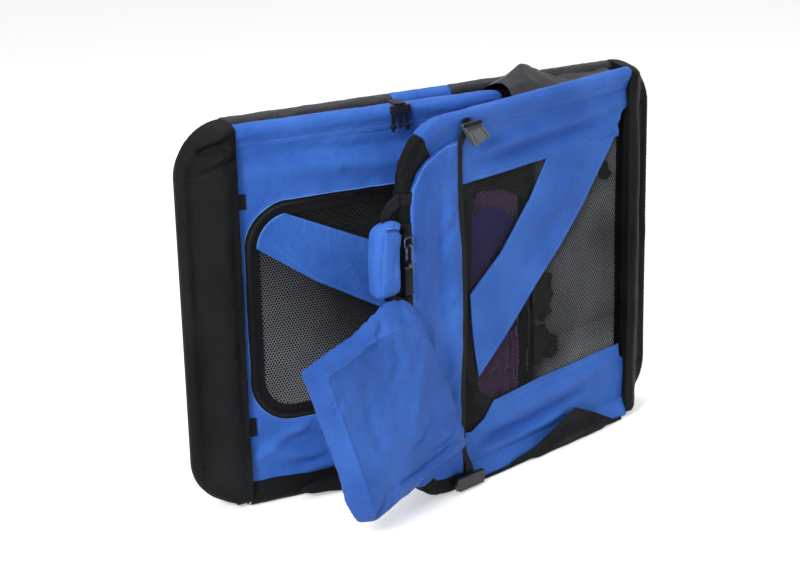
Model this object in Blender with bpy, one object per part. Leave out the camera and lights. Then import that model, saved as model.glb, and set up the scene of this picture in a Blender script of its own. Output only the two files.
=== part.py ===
"""Folding dog crate, shown folded and standing on its long edge.

The base frame is the upright rear layer. Two end hoops are folded over its
front, the left one underneath and the right one on top, each on two pins.
World axes: X along the crate's length, Z up (the crate's width), and -Y
towards the front, where the hoops' outer faces look. The origin is on the
ground, under the middle of the base frame.

A hoop's own coordinates are u, from its hinge axis to its far bar, w, out of
its outer face, and z, up.
"""

import math

import bmesh
import bpy
from mathutils import Vector
from mathutils.bvhtree import BVHTree

# Overall sizes, in metres
BASE_LENGTH = 0.910
STAND_HEIGHT = 0.650
HOOP_REACH = 0.552
HINGE_INSET = 0.070

# Tubes and the fabric sleeves round them
TUBE_R = 0.011
TUBE_WALL = 0.001
SLEEVE_R = 0.013
CLEARANCE = 0.0003
BASE_CORNER_R = 0.070
HOOP_CORNER_R = 0.090
TUBE_SIDES = 12
ARC_STEPS = 5

# The hinge axes stand in front of the base frame by these amounts
LEFT_AXIS_Y = 0.030
RIGHT_AXIS_Y = 0.050
LEFT_OPEN_DEG = 4.0
RIGHT_OPEN_DEG = 14.3

# The blue stretch of the base's top rail
BLUE_FROM_X = -0.066
BLUE_TO_X = 0.045

# The cloth that covers the base's short edges
COVER_OUT = 0.006
COVER_IN = 0.020
COVER_END = 0.012

# Hinge hardware
PIN_R = 0.003
PIN_HEAD_R = 0.005
PIN_HEAD_T = 0.0015
EYE_T = 0.004
EYE_R = 0.0075
EYE_TONGUE = 0.036
EAR_T = 0.003
EAR_R = 0.008
HOOP_TUBE_START = 0.0128
BRACKET_BARE = 0.012
BEND_LEAD = 0.004
POST_SLEEVE_START = 0.020

# Fabric sheets
FABRIC_T = 0.0012
MESH_T = 0.0008
BAND_T = 0.0010
ZIP_T = 0.0022
ZIP_W = 0.012

# Left hoop: the zip door
DOOR_NEAR_U = 0.035
DOOR_FAR_U = 0.490
DOOR_LOW_Z = 0.145
DOOR_TOP_Z = 0.510
DOOR_CORNER_R = 0.072

# Right hoop: the window, the padded column and the strap
WINDOW_NEAR_U = 0.035
WINDOW_FAR_U = 0.398
WINDOW_LOW_Z = 0.132
WINDOW_TOP_Z = 0.530
STRAP_NEAR_U = 0.409
STRAP_W = 0.025
STRAP_T = 0.002
STRAP_LIFT = 0.0006
STRAP_RAMP = 0.038
STRAP_FOOT_Z = 0.010
COLUMN_CROWN = 0.011

# Buckles
BUCKLE_W = 0.034
BUCKLE_T = 0.009
BUCKLE_EDGE_R = 0.0014
BUCKLE_PIVOT_R = 0.0013
MALE_U = 0.303
MALE_BODY_H = 0.014
MALE_BODY_T = 0.0055
MALE_TONGUE = 0.024
PRONG_ROOT_R = 0.0025
PRONG_HALF = 0.0022
PRONG_HOOK = 0.003
PRONG_LENGTH = 0.027
PRONG_SPREAD = 0.0125
FEMALE_SHAPE = ((0.0315, 0.0), (-0.0055, 0.0), (-0.0305, -0.030), (0.0045, -0.041))
FOOT_SHAPE = ((-0.011, 0.0), (0.053, 0.0), (0.057, -0.010), (0.049, -0.0235), (-0.009, -0.0235))

# Handle, hook and bag
HANDLE_LOW_Z = 0.365
HANDLE_TOP_Z = 0.535
WRAP_LOW_Z = 0.395
WRAP_TOP_Z = 0.505
WRAP_OUT = 0.052
WRAP_W = 0.046
WRAP_T = 0.034
RING_OUT = 0.015
RING_HALF = 0.0085
RING_W = 0.026
RING_Z = 0.462
KEEPER_Z = 0.486
WEBBING_HALF = 0.009
NOTCH_DEPTH = 0.0045
NOTCH_GAP = 0.001
RING_WIRE_R = 0.0015
HOOK_R = 0.0045
HOOK_WIRE = 0.004
HOOK_T = 0.005
BAG_WEBBING_H = 0.043
BAG_WIDTH = 0.250
BAG_HEIGHT = 0.290
BAG_LEAN_DEG = 21.0
BAG_TILT_DEG = 6.5
BAG_MIDDLE_OUT = 0.078
BAG_FRONT_W = 0.060
BAG_TOP_BACK_W = 0.0215
BAG_LOW_BACK_W = 0.0145
BAG_PEAK = 0.055
BAG_BACK_DROP = 0.044
BAG_CROWN = 0.004

# Stowed mat, roof roll and loose side fabric
MAT_NEAR_U = 0.245
MAT_FAR_U = 0.400
MAT_LOW_Z = 0.115
MAT_TOP_Z = 0.528
MAT_T = 0.018
MAT_THIN = 0.45
MAT_RIPPLE = 0.08
ROLL_R = 0.019
ROLL_SQUASH = 0.8
ROLL_GATHER = 0.10
FOLD_NEAR_U = 0.10
FOLD_FAR_U = 0.45
FOLD_HALF_W = 0.011
FOLD_HALF_H = 0.015
FOLD_MIDDLE_Z = 0.0185
FLAP_NEAR_U = 0.055
FLAP_FAR_U = 0.250
FLAP_HEIGHT = 0.045
BUMP_HEIGHT = 0.0430
BUMP_OUT = 0.231
BUMP_HALF = 0.098
GUSSET_T = 0.0016
GUSSET_START = 0.040
LEFT_GUSSET_REACH = 0.300
RIGHT_GUSSET_REACH = 0.250
BUMP_REACH = 0.282
GUSSET_SIT = 0.003
GUSSET_DIP = 0.020

# Colours
BLUE = (0.055, 0.165, 0.560)
BLACK = (0.018, 0.018, 0.019)
MESH_GREY = (0.090, 0.088, 0.080)
PLUM = (0.050, 0.022, 0.055)
PLASTIC = (0.020, 0.020, 0.021)
STEEL = (0.42, 0.43, 0.44)
DARK_STEEL = (0.10, 0.10, 0.11)

# Values that follow from the ones above
MID_X = BASE_LENGTH / 2
AXIS_X = MID_X - HINGE_INSET
LOW_Z = SLEEVE_R
HIGH_Z = STAND_HEIGHT - SLEEVE_R
SIDE_X = MID_X - SLEEVE_R
ARC_START_X = SIDE_X - BASE_CORNER_R
SLEEVE_IN = TUBE_R + CLEARANCE
CORNER_RADIUS = SLEEVE_R / math.cos(math.pi / TUBE_SIDES)
PANEL_LOW_Z = LOW_Z + SLEEVE_R + CLEARANCE
PANEL_HIGH_Z = HIGH_Z - SLEEVE_R - CLEARANCE
PANEL_FAR_U = HOOP_REACH - SLEEVE_R - CLEARANCE
PANEL_FRONT_W = FABRIC_T / 2
RING_U = HOOP_REACH + RING_OUT
BAG_MIDDLE_U = HOOP_REACH + BAG_MIDDLE_OUT


def clear_scene():
    """Remove the objects that are in the scene."""
    for obj in list(bpy.data.objects):
        bpy.data.objects.remove(obj, do_unlink=True)


def material(name, colour, roughness, metallic=0.0):
    """A Principled material, made once for each name."""
    mat = bpy.data.materials.get(name)
    if mat is None:
        mat = bpy.data.materials.new(name)
        mat.use_nodes = True
        shader = mat.node_tree.nodes["Principled BSDF"]
        shader.inputs["Base Color"].default_value = (*colour, 1.0)
        shader.inputs["Roughness"].default_value = roughness
        shader.inputs["Metallic"].default_value = metallic
    return mat


def blue_fabric():
    """Blue woven cloth."""
    return material("blue_fabric", BLUE, 0.75)


def black_fabric():
    """Black woven cloth."""
    return material("black_fabric", BLACK, 0.8)


def black_webbing():
    """Black webbing and zip tape."""
    return material("black_webbing", BLACK, 0.6)


def plastic():
    """Black moulded plastic."""
    return material("black_plastic", PLASTIC, 0.35)


def steel():
    """Coated steel tube and hinge plates."""
    return material("steel", STEEL, 0.35, 1.0)


def zinc():
    """Dark plated zip and hook metal."""
    return material("dark_zinc", DARK_STEEL, 0.3, 1.0)


class Frame:
    """A place to build in: the world, or one hoop's u, w, z coordinates."""

    def __init__(self, empty=None, side=1.0):
        """Keep the empty to parent to, and +1 or -1 for the way u runs."""
        self.empty = empty
        self.side = side

    def point(self, u, w, z):
        """The local point for u along, w out of the outer face and z up."""
        return Vector((self.side * u, -w, z))


def hinge_frame(name, x, y, degrees, side):
    """A hoop's frame: an empty on its hinge axis, turned to the rest angle."""
    empty = bpy.data.objects.new(name, None)
    empty.empty_display_size = 0.05
    empty.location = (x, y, 0.0)
    empty.rotation_euler = (0.0, 0.0, math.radians(degrees))
    bpy.context.scene.collection.objects.link(empty)
    return Frame(empty, side)


def face_outwards(bm):
    """Point every face of a closed bmesh out."""
    bmesh.ops.recalc_face_normals(bm, faces=bm.faces)
    if bm.calc_volume(signed=True) < 0.0:
        bmesh.ops.reverse_faces(bm, faces=bm.faces)


def finish(name, bm, mat, frame, smooth=True):
    """Turn a bmesh into a named object in a frame, faces pointing out."""
    face_outwards(bm)
    mesh = bpy.data.meshes.new(name)
    bm.to_mesh(mesh)
    bm.free()
    mesh.materials.append(mat)
    if smooth:
        mesh.shade_smooth()
        mesh.set_sharp_from_angle(angle=math.radians(35))
    obj = bpy.data.objects.new(name, mesh)
    obj.parent = frame.empty
    bpy.context.scene.collection.objects.link(obj)
    return obj


def join_or_cut(obj, bm_list, operation):
    """Union with, or cut by, each closed bmesh in a list."""
    for number, bm in enumerate(bm_list):
        face_outwards(bm)
        mesh = bpy.data.meshes.new(f"{obj.name}_tool_{number}")
        bm.to_mesh(mesh)
        bm.free()
        tool = bpy.data.objects.new(mesh.name, mesh)
        tool.hide_render = True
        tool.display_type = "WIRE"
        tool.parent = obj.parent
        bpy.context.scene.collection.objects.link(tool)
        modifier = obj.modifiers.new(f"{operation}_{number}", "BOOLEAN")
        modifier.operation = operation
        modifier.solver = "EXACT"
        modifier.object = tool
    return obj


def ring_loop(bm, centre, across, up, radius, sides=TUBE_SIDES):
    """One ring of a tube, drawn so its flat sides lie at the radius."""
    corner = radius / math.cos(math.pi / sides)
    loop = []
    for k in range(sides):
        angle = math.tau * (k + 0.5) / sides
        loop.append(bm.verts.new(centre + across * corner * math.cos(angle) + up * corner * math.sin(angle)))
    return loop


def bridge(bm, first, second):
    """Side faces between two loops of the same count."""
    count = len(first)
    for k in range(count):
        bm.faces.new((first[k], first[(k + 1) % count], second[(k + 1) % count], second[k]))


def sweep(path, normal, outer, inner=None, closed_path=False, sides=TUBE_SIDES):
    """A rod, or a tube when inner is given, along points in one plane."""
    bm = bmesh.new()
    count = len(path)
    outer_loops = []
    inner_loops = []
    for k, centre in enumerate(path):
        before = path[k - 1] if k > 0 or closed_path else centre
        after = path[(k + 1) % count] if k < count - 1 or closed_path else centre
        along = (after - before).normalized()
        across = along.cross(normal).normalized()
        outer_loops.append(ring_loop(bm, centre, across, normal, outer, sides))
        if inner is not None:
            inner_loops.append(ring_loop(bm, centre, across, normal, inner, sides))
    for k in range(count - 1):
        bridge(bm, outer_loops[k], outer_loops[k + 1])
        if inner is not None:
            bridge(bm, inner_loops[k + 1], inner_loops[k])
    if inner is None:
        bm.faces.new(outer_loops[0])
        bm.faces.new(outer_loops[-1])
    else:
        bridge(bm, inner_loops[0], outer_loops[0])
        bridge(bm, outer_loops[-1], inner_loops[-1])
    return bm


def arc(centre, radius, start_deg, end_deg, steps=ARC_STEPS):
    """Points of a plane arc, both ends included."""
    points = []
    for k in range(steps + 1):
        angle = math.radians(start_deg + (end_deg - start_deg) * k / steps)
        points.append((centre[0] + radius * math.cos(angle), centre[1] + radius * math.sin(angle)))
    return points


def rounded_rectangle(left, right, low, high, radius, steps=ARC_STEPS):
    """Outline of a rectangle with round corners, anticlockwise."""
    outline = arc((right - radius, low + radius), radius, -90, 0, steps)
    outline += arc((right - radius, high - radius), radius, 0, 90, steps)
    outline += arc((left + radius, high - radius), radius, 90, 180, steps)
    outline += arc((left + radius, low + radius), radius, 180, 270, steps)
    return outline


def sheet(frame, outline, w_low, w_high, holes=()):
    """A flat sheet with holes, from outlines in u and z."""
    bm = bmesh.new()
    edges = []
    for loop in (outline, *holes):
        verts = [bm.verts.new(frame.point(u, w_low, z)) for u, z in loop]
        edges += [bm.edges.new((verts[k - 1], verts[k])) for k in range(len(verts))]
    bmesh.ops.triangle_fill(bm, use_beauty=True, use_dissolve=False, edges=edges)
    lower = list(bm.faces)
    result = bmesh.ops.extrude_face_region(bm, geom=lower, use_keep_orig=True)
    moved = [item for item in result["geom"] if isinstance(item, bmesh.types.BMVert)]
    bmesh.ops.translate(bm, verts=moved, vec=frame.point(0.0, w_high - w_low, 0.0))
    return bm


def prism(points, direction):
    """A closed prism from a convex or concave outline of 3-D points."""
    bm = bmesh.new()
    near = [bm.verts.new(point) for point in points]
    far = [bm.verts.new(point + direction) for point in points]
    bm.faces.new(near)
    bm.faces.new(far)
    bridge(bm, near, far)
    return bm


def block(low, high, round_edge=0.0):
    """A box between two corners, with its edges rounded if asked."""
    bm = bmesh.new()
    bmesh.ops.create_cube(bm, size=1.0)
    size = Vector(high) - Vector(low)
    middle = (Vector(high) + Vector(low)) / 2
    bmesh.ops.scale(bm, vec=(abs(size.x), abs(size.y), abs(size.z)), verts=bm.verts)
    bmesh.ops.translate(bm, vec=middle, verts=bm.verts)
    if round_edge > 0.0:
        bmesh.ops.bevel(bm, geom=list(bm.edges), offset=round_edge, segments=2, profile=0.5,
                        affect="EDGES")
    return bm


def frame_block(frame, u_range, w_range, z_range, round_edge=0.0):
    """A box given by its ranges in a hoop's coordinates."""
    low = frame.point(u_range[0], w_range[0], z_range[0])
    high = frame.point(u_range[1], w_range[1], z_range[1])
    return block(low, high, round_edge)


def rod(start, end, radius, sides=TUBE_SIDES):
    """A straight rod between two points."""
    along = (end - start).normalized()
    helper = Vector((0, 0, 1)) if abs(along.z) < 0.9 else Vector((0, 1, 0))
    normal = along.cross(helper).normalized()
    return sweep([start, end], normal, radius, sides=sides)


def soft_box(half, steps, power, place):
    """A closed cushion: a cube grid pushed to a rounded box, then placed.

    half holds the three half sizes, power sets how square the edges are, and
    place turns a point of the rounded box into the finished point.
    """
    bm = bmesh.new()
    bmesh.ops.create_cube(bm, size=2.0)
    bmesh.ops.subdivide_edges(bm, edges=bm.edges, cuts=steps - 1, use_grid_fill=True)
    for vert in bm.verts:
        p = vert.co
        scale = (abs(p.x) ** power + abs(p.y) ** power + abs(p.z) ** power) ** (1.0 / power)
        q = p / scale
        vert.co = place(Vector((q.x * half[0], q.y * half[1], q.z * half[2])))
    return bm


def base_path():
    """Centre line of the base tube, open at the middle of the top rail."""
    slit = CLEARANCE / 2
    flat = [(-slit, HIGH_Z)]
    flat += arc((-ARC_START_X, HIGH_Z - BASE_CORNER_R), BASE_CORNER_R, 90, 180)
    flat += arc((-ARC_START_X, LOW_Z + BASE_CORNER_R), BASE_CORNER_R, 180, 270)
    flat += arc((ARC_START_X, LOW_Z + BASE_CORNER_R), BASE_CORNER_R, 270, 360)
    flat += arc((ARC_START_X, HIGH_Z - BASE_CORNER_R), BASE_CORNER_R, 0, 90)
    flat.append((slit, HIGH_Z))
    return [Vector((x, 0.0, z)) for x, z in flat]


def base_edge_sleeve_path(side):
    """Centre line of the sleeve round one short edge and its two corners."""
    flat = arc((ARC_START_X, HIGH_Z - BASE_CORNER_R), BASE_CORNER_R, 90, 0)
    flat += arc((ARC_START_X, LOW_Z + BASE_CORNER_R), BASE_CORNER_R, 0, -90)
    limit = AXIS_X + BRACKET_BARE
    kept = [point for point in flat if point[0] > limit]
    first = flat.index(kept[0])
    last = flat.index(kept[-1])
    ends = []
    for inside, outside in ((flat[first], flat[first - 1]), (flat[last], flat[last + 1])):
        share = (limit - outside[0]) / (inside[0] - outside[0])
        ends.append((limit, outside[1] + share * (inside[1] - outside[1])))
    return [Vector((side * x, 0.0, z)) for x, z in [ends[0], *kept, ends[1]]]


def build_base(world):
    """The base frame, its sleeves, floor panel and side covers."""
    across = Vector((0, 1, 0))
    tube = sweep(base_path(), across, TUBE_R, TUBE_R - TUBE_WALL)
    finish("base_tube", tube, steel(), world)
    for side, name in ((-1.0, "left"), (1.0, "right")):
        sleeve = sweep(base_edge_sleeve_path(side), across, SLEEVE_R, SLEEVE_IN)
        finish(f"base_{name}_sleeve", sleeve, black_fabric(), world)
        build_side_cover(world, side, name)
    clear_x = AXIS_X - BRACKET_BARE
    straight_x = ARC_START_X - 0.001
    runs = (
        ("base_top_sleeve_left", -min(clear_x, straight_x), BLUE_FROM_X - CLEARANCE, HIGH_Z, black_fabric()),
        ("base_top_blue_section", BLUE_FROM_X, BLUE_TO_X, HIGH_Z, blue_fabric()),
        ("base_top_sleeve_right", BLUE_TO_X + CLEARANCE, min(clear_x, straight_x), HIGH_Z, black_fabric()),
        ("base_bottom_sleeve", -min(clear_x, straight_x), min(clear_x, straight_x), LOW_Z, black_fabric()),
    )
    for name, x_from, x_to, z, mat in runs:
        path = [Vector((x_from, 0.0, z)), Vector((x_to, 0.0, z))]
        finish(name, sweep(path, across, SLEEVE_R, SLEEVE_IN), mat, world)
    inset = CORNER_RADIUS + CLEARANCE
    outline = rounded_rectangle(-SIDE_X + inset, SIDE_X - inset, LOW_Z + inset, HIGH_Z - inset,
                                BASE_CORNER_R - inset)
    floor_panel = sheet(world, outline, -FABRIC_T, FABRIC_T)
    finish("floor_panel", floor_panel, black_fabric(), world, smooth=False)


def build_side_cover(world, side, name):
    """Black cloth from the base's short edge forward to the hinge axis."""
    axis_y = LEFT_AXIS_Y if side < 0 else RIGHT_AXIS_Y
    start_y = SLEEVE_R + CLEARANCE
    depth = axis_y - start_y
    plan = (
        (SIDE_X + COVER_OUT, start_y),
        (SIDE_X + COVER_OUT / 2, start_y + 0.45 * depth),
        (SIDE_X - COVER_IN, start_y + 0.85 * depth),
        (AXIS_X + 0.004, start_y + depth),
    )
    thick = FABRIC_T
    outer = [(side * x, -y) for x, y in plan]
    inner = [(side * (x - thick), -y + (0.0 if k == 0 else thick)) for k, (x, y) in enumerate(plan)]
    points = [Vector((x, y, PANEL_LOW_Z + COVER_END)) for x, y in outer + inner[::-1]]
    height = PANEL_HIGH_Z - PANEL_LOW_Z - 2 * COVER_END
    bm = prism(points, Vector((0, 0, height)))
    finish(f"{name}_side_cover", bm, black_fabric(), world)


def base_tube_height(x, z):
    """Height of the base tube's centre at x, on the long edge at height z."""
    flat = [(0.0, HIGH_Z)]
    flat += arc((ARC_START_X, HIGH_Z - BASE_CORNER_R), BASE_CORNER_R, 90, 0)
    for before, after in zip(flat, flat[1:]):
        if before[0] <= abs(x) <= after[0]:
            share = (abs(x) - before[0]) / (after[0] - before[0])
            height = before[1] + share * (after[1] - before[1])
            return height if z > STAND_HEIGHT / 2 else STAND_HEIGHT - height
    return z


def build_hinge(world, x, y, z, name):
    """One bracket, clamped round the base tube, and the pin through it."""
    half = EAR_R
    slot = EYE_T / 2 + CLEARANCE
    clamp = [Vector((end, 0, base_tube_height(end, z))) for end in (x - half, x + half)]
    body = sweep(clamp, Vector((0, 1, 0)), SLEEVE_R, SLEEVE_IN)
    bracket = finish(f"{name}_bracket", body, steel(), world)
    front = -y - EAR_R
    ears = []
    for low in (slot, -slot - EAR_T):
        ears.append(block((x - half, front, z + low), (x + half, -TUBE_R - 0.0008, z + low + EAR_T)))
    join_or_cut(bracket, ears, "UNION")
    hole = rod(Vector((x, -y, z - 0.02)), Vector((x, -y, z + 0.02)), PIN_R + CLEARANCE)
    join_or_cut(bracket, [hole], "DIFFERENCE")
    seat = slot + EAR_T + CLEARANCE
    pin_profile = (
        (0.0, -seat - PIN_HEAD_T), (PIN_HEAD_R, -seat - PIN_HEAD_T), (PIN_HEAD_R, -seat),
        (PIN_R, -seat), (PIN_R, seat), (PIN_HEAD_R, seat), (PIN_HEAD_R, seat + PIN_HEAD_T),
        (0.0, seat + PIN_HEAD_T),
    )
    pin = turned(pin_profile, Vector((x, -y, z)))
    finish(f"{name}_pin", pin, steel(), world)


def turned(profile, centre, sides=TUBE_SIDES):
    """A solid turned about Z from radius and height pairs, poles first and last."""
    bm = bmesh.new()
    first = bm.verts.new(centre + Vector((0, 0, profile[0][1])))
    last = bm.verts.new(centre + Vector((0, 0, profile[-1][1])))
    across = Vector((1, 0, 0))
    forward = Vector((0, 1, 0))
    loops = []
    for radius, height in profile[1:-1]:
        middle = centre + Vector((0, 0, height))
        loops.append(ring_loop(bm, middle, across, forward, radius, sides))
    for k in range(sides):
        bm.faces.new((first, loops[0][k], loops[0][(k + 1) % sides]))
        bm.faces.new((last, loops[-1][(k + 1) % sides], loops[-1][k]))
    for lower, upper in zip(loops, loops[1:]):
        bridge(bm, lower, upper)
    return bm


def hoop_flat_path(start_u):
    """A hoop tube's centre line in u and z, from the lower post to the upper."""
    centre_u = HOOP_REACH - HOOP_CORNER_R
    flat = [(start_u, LOW_Z)]
    flat += arc((centre_u, LOW_Z + HOOP_CORNER_R), HOOP_CORNER_R, 270, 360)
    flat += arc((centre_u, HIGH_Z - HOOP_CORNER_R), HOOP_CORNER_R, 0, 90)
    flat.append((start_u, HIGH_Z))
    return flat


def far_panel_outline(near_u, notches=()):
    """The outline that fits inside a hoop's sleeves, from near_u outwards.

    Each notch is a low and a high z, where webbing goes round the far bar.
    """
    radius = HOOP_CORNER_R - SLEEVE_R - CLEARANCE - 0.0006
    outline = [(near_u, PANEL_LOW_Z)]
    outline += arc((PANEL_FAR_U - radius, PANEL_LOW_Z + radius), radius, -90, 0)
    for low, high in notches:
        cut_u = PANEL_FAR_U - NOTCH_DEPTH
        outline += [(PANEL_FAR_U, low), (cut_u, low), (cut_u, high), (PANEL_FAR_U, high)]
    outline += arc((PANEL_FAR_U - radius, PANEL_HIGH_Z - radius), radius, 0, 90)
    outline.append((near_u, PANEL_HIGH_Z))
    return outline


def build_hoop_frame(frame, name, post_mat, corner_mat):
    """The bent steel tube of a hoop, with its flattened eyes and sleeves."""
    across = Vector((0, 1, 0))
    path = [frame.point(u, 0.0, z) for u, z in hoop_flat_path(HOOP_TUBE_START)]
    tube = finish(f"{name}_hoop_tube", sweep(path, across, TUBE_R, TUBE_R - TUBE_WALL), steel(), frame)
    tongues = []
    holes = []
    for z in (LOW_Z, HIGH_Z):
        half_bore = TUBE_R - TUBE_WALL / 2
        outline = arc((0.0, 0.0), EYE_R, 90, 270, 8)
        outline += [(HOOP_TUBE_START + 0.002, -half_bore), (EYE_TONGUE, -half_bore)]
        outline += [(EYE_TONGUE, half_bore), (HOOP_TUBE_START + 0.002, half_bore)]
        points = [frame.point(u, w, z - EYE_T / 2) for u, w in outline]
        tongues.append(prism(points, Vector((0, 0, EYE_T))))
        holes.append(rod(frame.point(0, 0, z - 0.02), frame.point(0, 0, z + 0.02), PIN_R + CLEARANCE))
    join_or_cut(tube, tongues, "UNION")
    join_or_cut(tube, holes, "DIFFERENCE")
    post_end = HOOP_REACH - HOOP_CORNER_R
    for z, label in ((LOW_Z, "lower"), (HIGH_Z, "upper")):
        post = [frame.point(POST_SLEEVE_START, 0, z), frame.point(post_end - BEND_LEAD - CLEARANCE, 0, z)]
        finish(f"{name}_{label}_post_sleeve", sweep(post, across, SLEEVE_R, SLEEVE_IN), post_mat, frame)
    bend = [frame.point(u, 0.0, z) for u, z in hoop_flat_path(post_end - BEND_LEAD)]
    finish(f"{name}_far_bar_sleeve", sweep(bend, across, SLEEVE_R, SLEEVE_IN), corner_mat, frame)


def build_left_hoop(frame):
    """The left hoop: panel with a zip door, its mesh, band and fabric fold."""
    build_hoop_frame(frame, "left", blue_fabric(), black_fabric())
    door = rounded_rectangle(DOOR_NEAR_U, DOOR_FAR_U, DOOR_LOW_Z, DOOR_TOP_Z, DOOR_CORNER_R)
    inner = rounded_rectangle(DOOR_NEAR_U + CLEARANCE, DOOR_FAR_U - CLEARANCE, DOOR_LOW_Z + CLEARANCE,
                              DOOR_TOP_Z - CLEARANCE, DOOR_CORNER_R - CLEARANCE)
    outline = far_panel_outline(0.003)
    panel = sheet(frame, outline, -FABRIC_T / 2, FABRIC_T / 2, holes=(door,))
    finish("left_panel", panel, blue_fabric(), frame, smooth=False)
    mesh = sheet(frame, inner, -MESH_T / 2, MESH_T / 2)
    finish("left_door_mesh", mesh, material("mesh_cloth", MESH_GREY, 0.6), frame, smooth=False)
    zip_low = PANEL_FRONT_W + CLEARANCE
    grow = ZIP_W / 2
    outer_zip = rounded_rectangle(DOOR_NEAR_U - grow, DOOR_FAR_U + grow, DOOR_LOW_Z - grow,
                                  DOOR_TOP_Z + grow, DOOR_CORNER_R + grow)
    inner_zip = rounded_rectangle(DOOR_NEAR_U + grow, DOOR_FAR_U - grow, DOOR_LOW_Z + grow,
                                  DOOR_TOP_Z - grow, DOOR_CORNER_R - grow)
    tape = sheet(frame, outer_zip, zip_low, zip_low + ZIP_T, holes=(inner_zip,))
    finish("left_door_zip", tape, black_webbing(), frame, smooth=False)
    band_low = MESH_T / 2 + CLEARANCE
    edge = grow + CLEARANCE
    span_u = DOOR_FAR_U - DOOR_NEAR_U
    span_z = DOOR_TOP_Z - DOOR_LOW_Z
    band = []
    corner = (DOOR_NEAR_U + DOOR_CORNER_R, DOOR_TOP_Z - DOOR_CORNER_R)
    band += arc(corner, DOOR_CORNER_R - edge - 0.0012, 178, 98)
    band.append((DOOR_NEAR_U + 0.205 / 0.455 * span_u + 0.05, DOOR_LOW_Z + 0.72 * span_z))
    band.append((DOOR_FAR_U - edge - 0.01, DOOR_LOW_Z + 0.30 * span_z))
    band.append((DOOR_FAR_U - edge - 0.01, DOOR_LOW_Z + 0.04 * span_z + DOOR_CORNER_R / 2))
    band_bm = sheet(frame, band, band_low, band_low + BAND_T)
    finish("left_door_band", band_bm, blue_fabric(), frame, smooth=False)
    build_lower_fold(frame)


def build_lower_fold(frame):
    """Black side-wall cloth that bulges out in front of the lower left post."""
    half = ((FOLD_FAR_U - FOLD_NEAR_U) / 2, FOLD_HALF_W, FOLD_HALF_H)
    middle = ((FOLD_FAR_U + FOLD_NEAR_U) / 2, SLEEVE_R + CLEARANCE + FOLD_HALF_W, FOLD_MIDDLE_Z)

    def place(p):
        swell = 1.0 - 0.35 * (p.x / half[0]) ** 2
        height = p.z * swell
        return frame.point(middle[0] + p.x, middle[1] + p.y, middle[2] + height)

    bm = soft_box(half, 6, 4.0, place)
    finish("left_lower_fold", bm, black_fabric(), frame)


def build_zip_slider(frame):
    """The door's slider, on the lower run, and its pull tab."""
    u = 0.330
    front = PANEL_FRONT_W + CLEARANCE + ZIP_T
    low = front + CLEARANCE
    body = frame_block(frame, (u - 0.006, u + 0.006), (low, low + 0.005),
                       (DOOR_LOW_Z - 0.004, DOOR_LOW_Z + 0.004), 0.0008)
    finish("door_zip_slider", body, zinc(), frame)
    axis_w = low + 0.005 + CLEARANCE + 0.001
    axis_z = DOOR_LOW_Z
    eye = rod(frame.point(u - 0.0035, axis_w, axis_z), frame.point(u + 0.0035, axis_w, axis_z), 0.001)
    pull = finish("door_zip_pull", eye, zinc(), frame)
    tab = frame_block(frame, (u - 0.0035, u + 0.0035), (axis_w - 0.0007, axis_w + 0.0007),
                      (axis_z - 0.026, axis_z))
    join_or_cut(pull, [tab], "UNION")


def build_right_hoop(frame):
    """The right hoop: panel, window mesh, band, padded column and strap."""
    build_hoop_frame(frame, "right", blue_fabric(), black_fabric())
    window = [(WINDOW_NEAR_U, WINDOW_LOW_Z), (WINDOW_FAR_U, WINDOW_LOW_Z),
              (WINDOW_FAR_U, WINDOW_TOP_Z), (WINDOW_NEAR_U, WINDOW_TOP_Z)]
    gap = CLEARANCE
    inner = [(WINDOW_NEAR_U + gap, WINDOW_LOW_Z + gap), (WINDOW_FAR_U - gap, WINDOW_LOW_Z + gap),
             (WINDOW_FAR_U - gap, WINDOW_TOP_Z - gap), (WINDOW_NEAR_U + gap, WINDOW_TOP_Z - gap)]
    half = WEBBING_HALF + NOTCH_GAP
    notches = [(z - half, z + half) for z in (HANDLE_LOW_Z, KEEPER_Z, HANDLE_TOP_Z)]
    outline = far_panel_outline(0.003, notches)
    panel = sheet(frame, outline, -FABRIC_T / 2, FABRIC_T / 2, holes=(window,))
    finish("right_panel", panel, blue_fabric(), frame, smooth=False)
    mesh = sheet(frame, inner, -MESH_T / 2, MESH_T / 2)
    finish("right_window_mesh", mesh, material("mesh_cloth", MESH_GREY, 0.6), frame, smooth=False)
    band_low = PANEL_FRONT_W + CLEARANCE
    band = [
        (WINDOW_NEAR_U + 0.006, WINDOW_TOP_Z + 0.006), (WINDOW_NEAR_U + 0.180, WINDOW_TOP_Z + 0.006),
        (WINDOW_FAR_U + 0.006, WINDOW_LOW_Z + 0.205), (WINDOW_FAR_U + 0.006, WINDOW_LOW_Z + 0.150),
        (WINDOW_FAR_U - 0.012, WINDOW_LOW_Z + 0.062),
    ]
    band_bm = sheet(frame, band, band_low, band_low + BAND_T)
    finish("right_window_band", band_bm, blue_fabric(), frame, smooth=False)
    build_column(frame)
    build_strap(frame)
    build_mat(frame)
    build_roof_roll(frame)
    build_flap(frame)


def build_column(frame):
    """The padded blue border between the strap and the far bar."""
    near = STRAP_NEAR_U + STRAP_W + CLEARANCE * 2
    far = PANEL_FAR_U - NOTCH_DEPTH
    low = PANEL_LOW_Z + 0.018
    high = PANEL_HIGH_Z - 0.024
    half = ((far - near) / 2, COLUMN_CROWN / 2, (high - low) / 2)
    middle = (near + far) / 2
    base_w = PANEL_FRONT_W + CLEARANCE
    top_trim = HOOP_CORNER_R * 0.75

    def place(p):
        from_end = min(half[2] - p.z, half[2] + p.z)
        narrow = max(0.0, 1.0 - from_end / top_trim)
        shrink = 1.0 - 0.42 * narrow ** 2
        u = near + (middle + p.x - near) * shrink
        return frame.point(u, base_w + COLUMN_CROWN / 2 + p.y, (low + high) / 2 + p.z)

    bm = soft_box(half, 8, 6.0, place)
    finish("right_padded_column", bm, blue_fabric(), frame)


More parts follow.
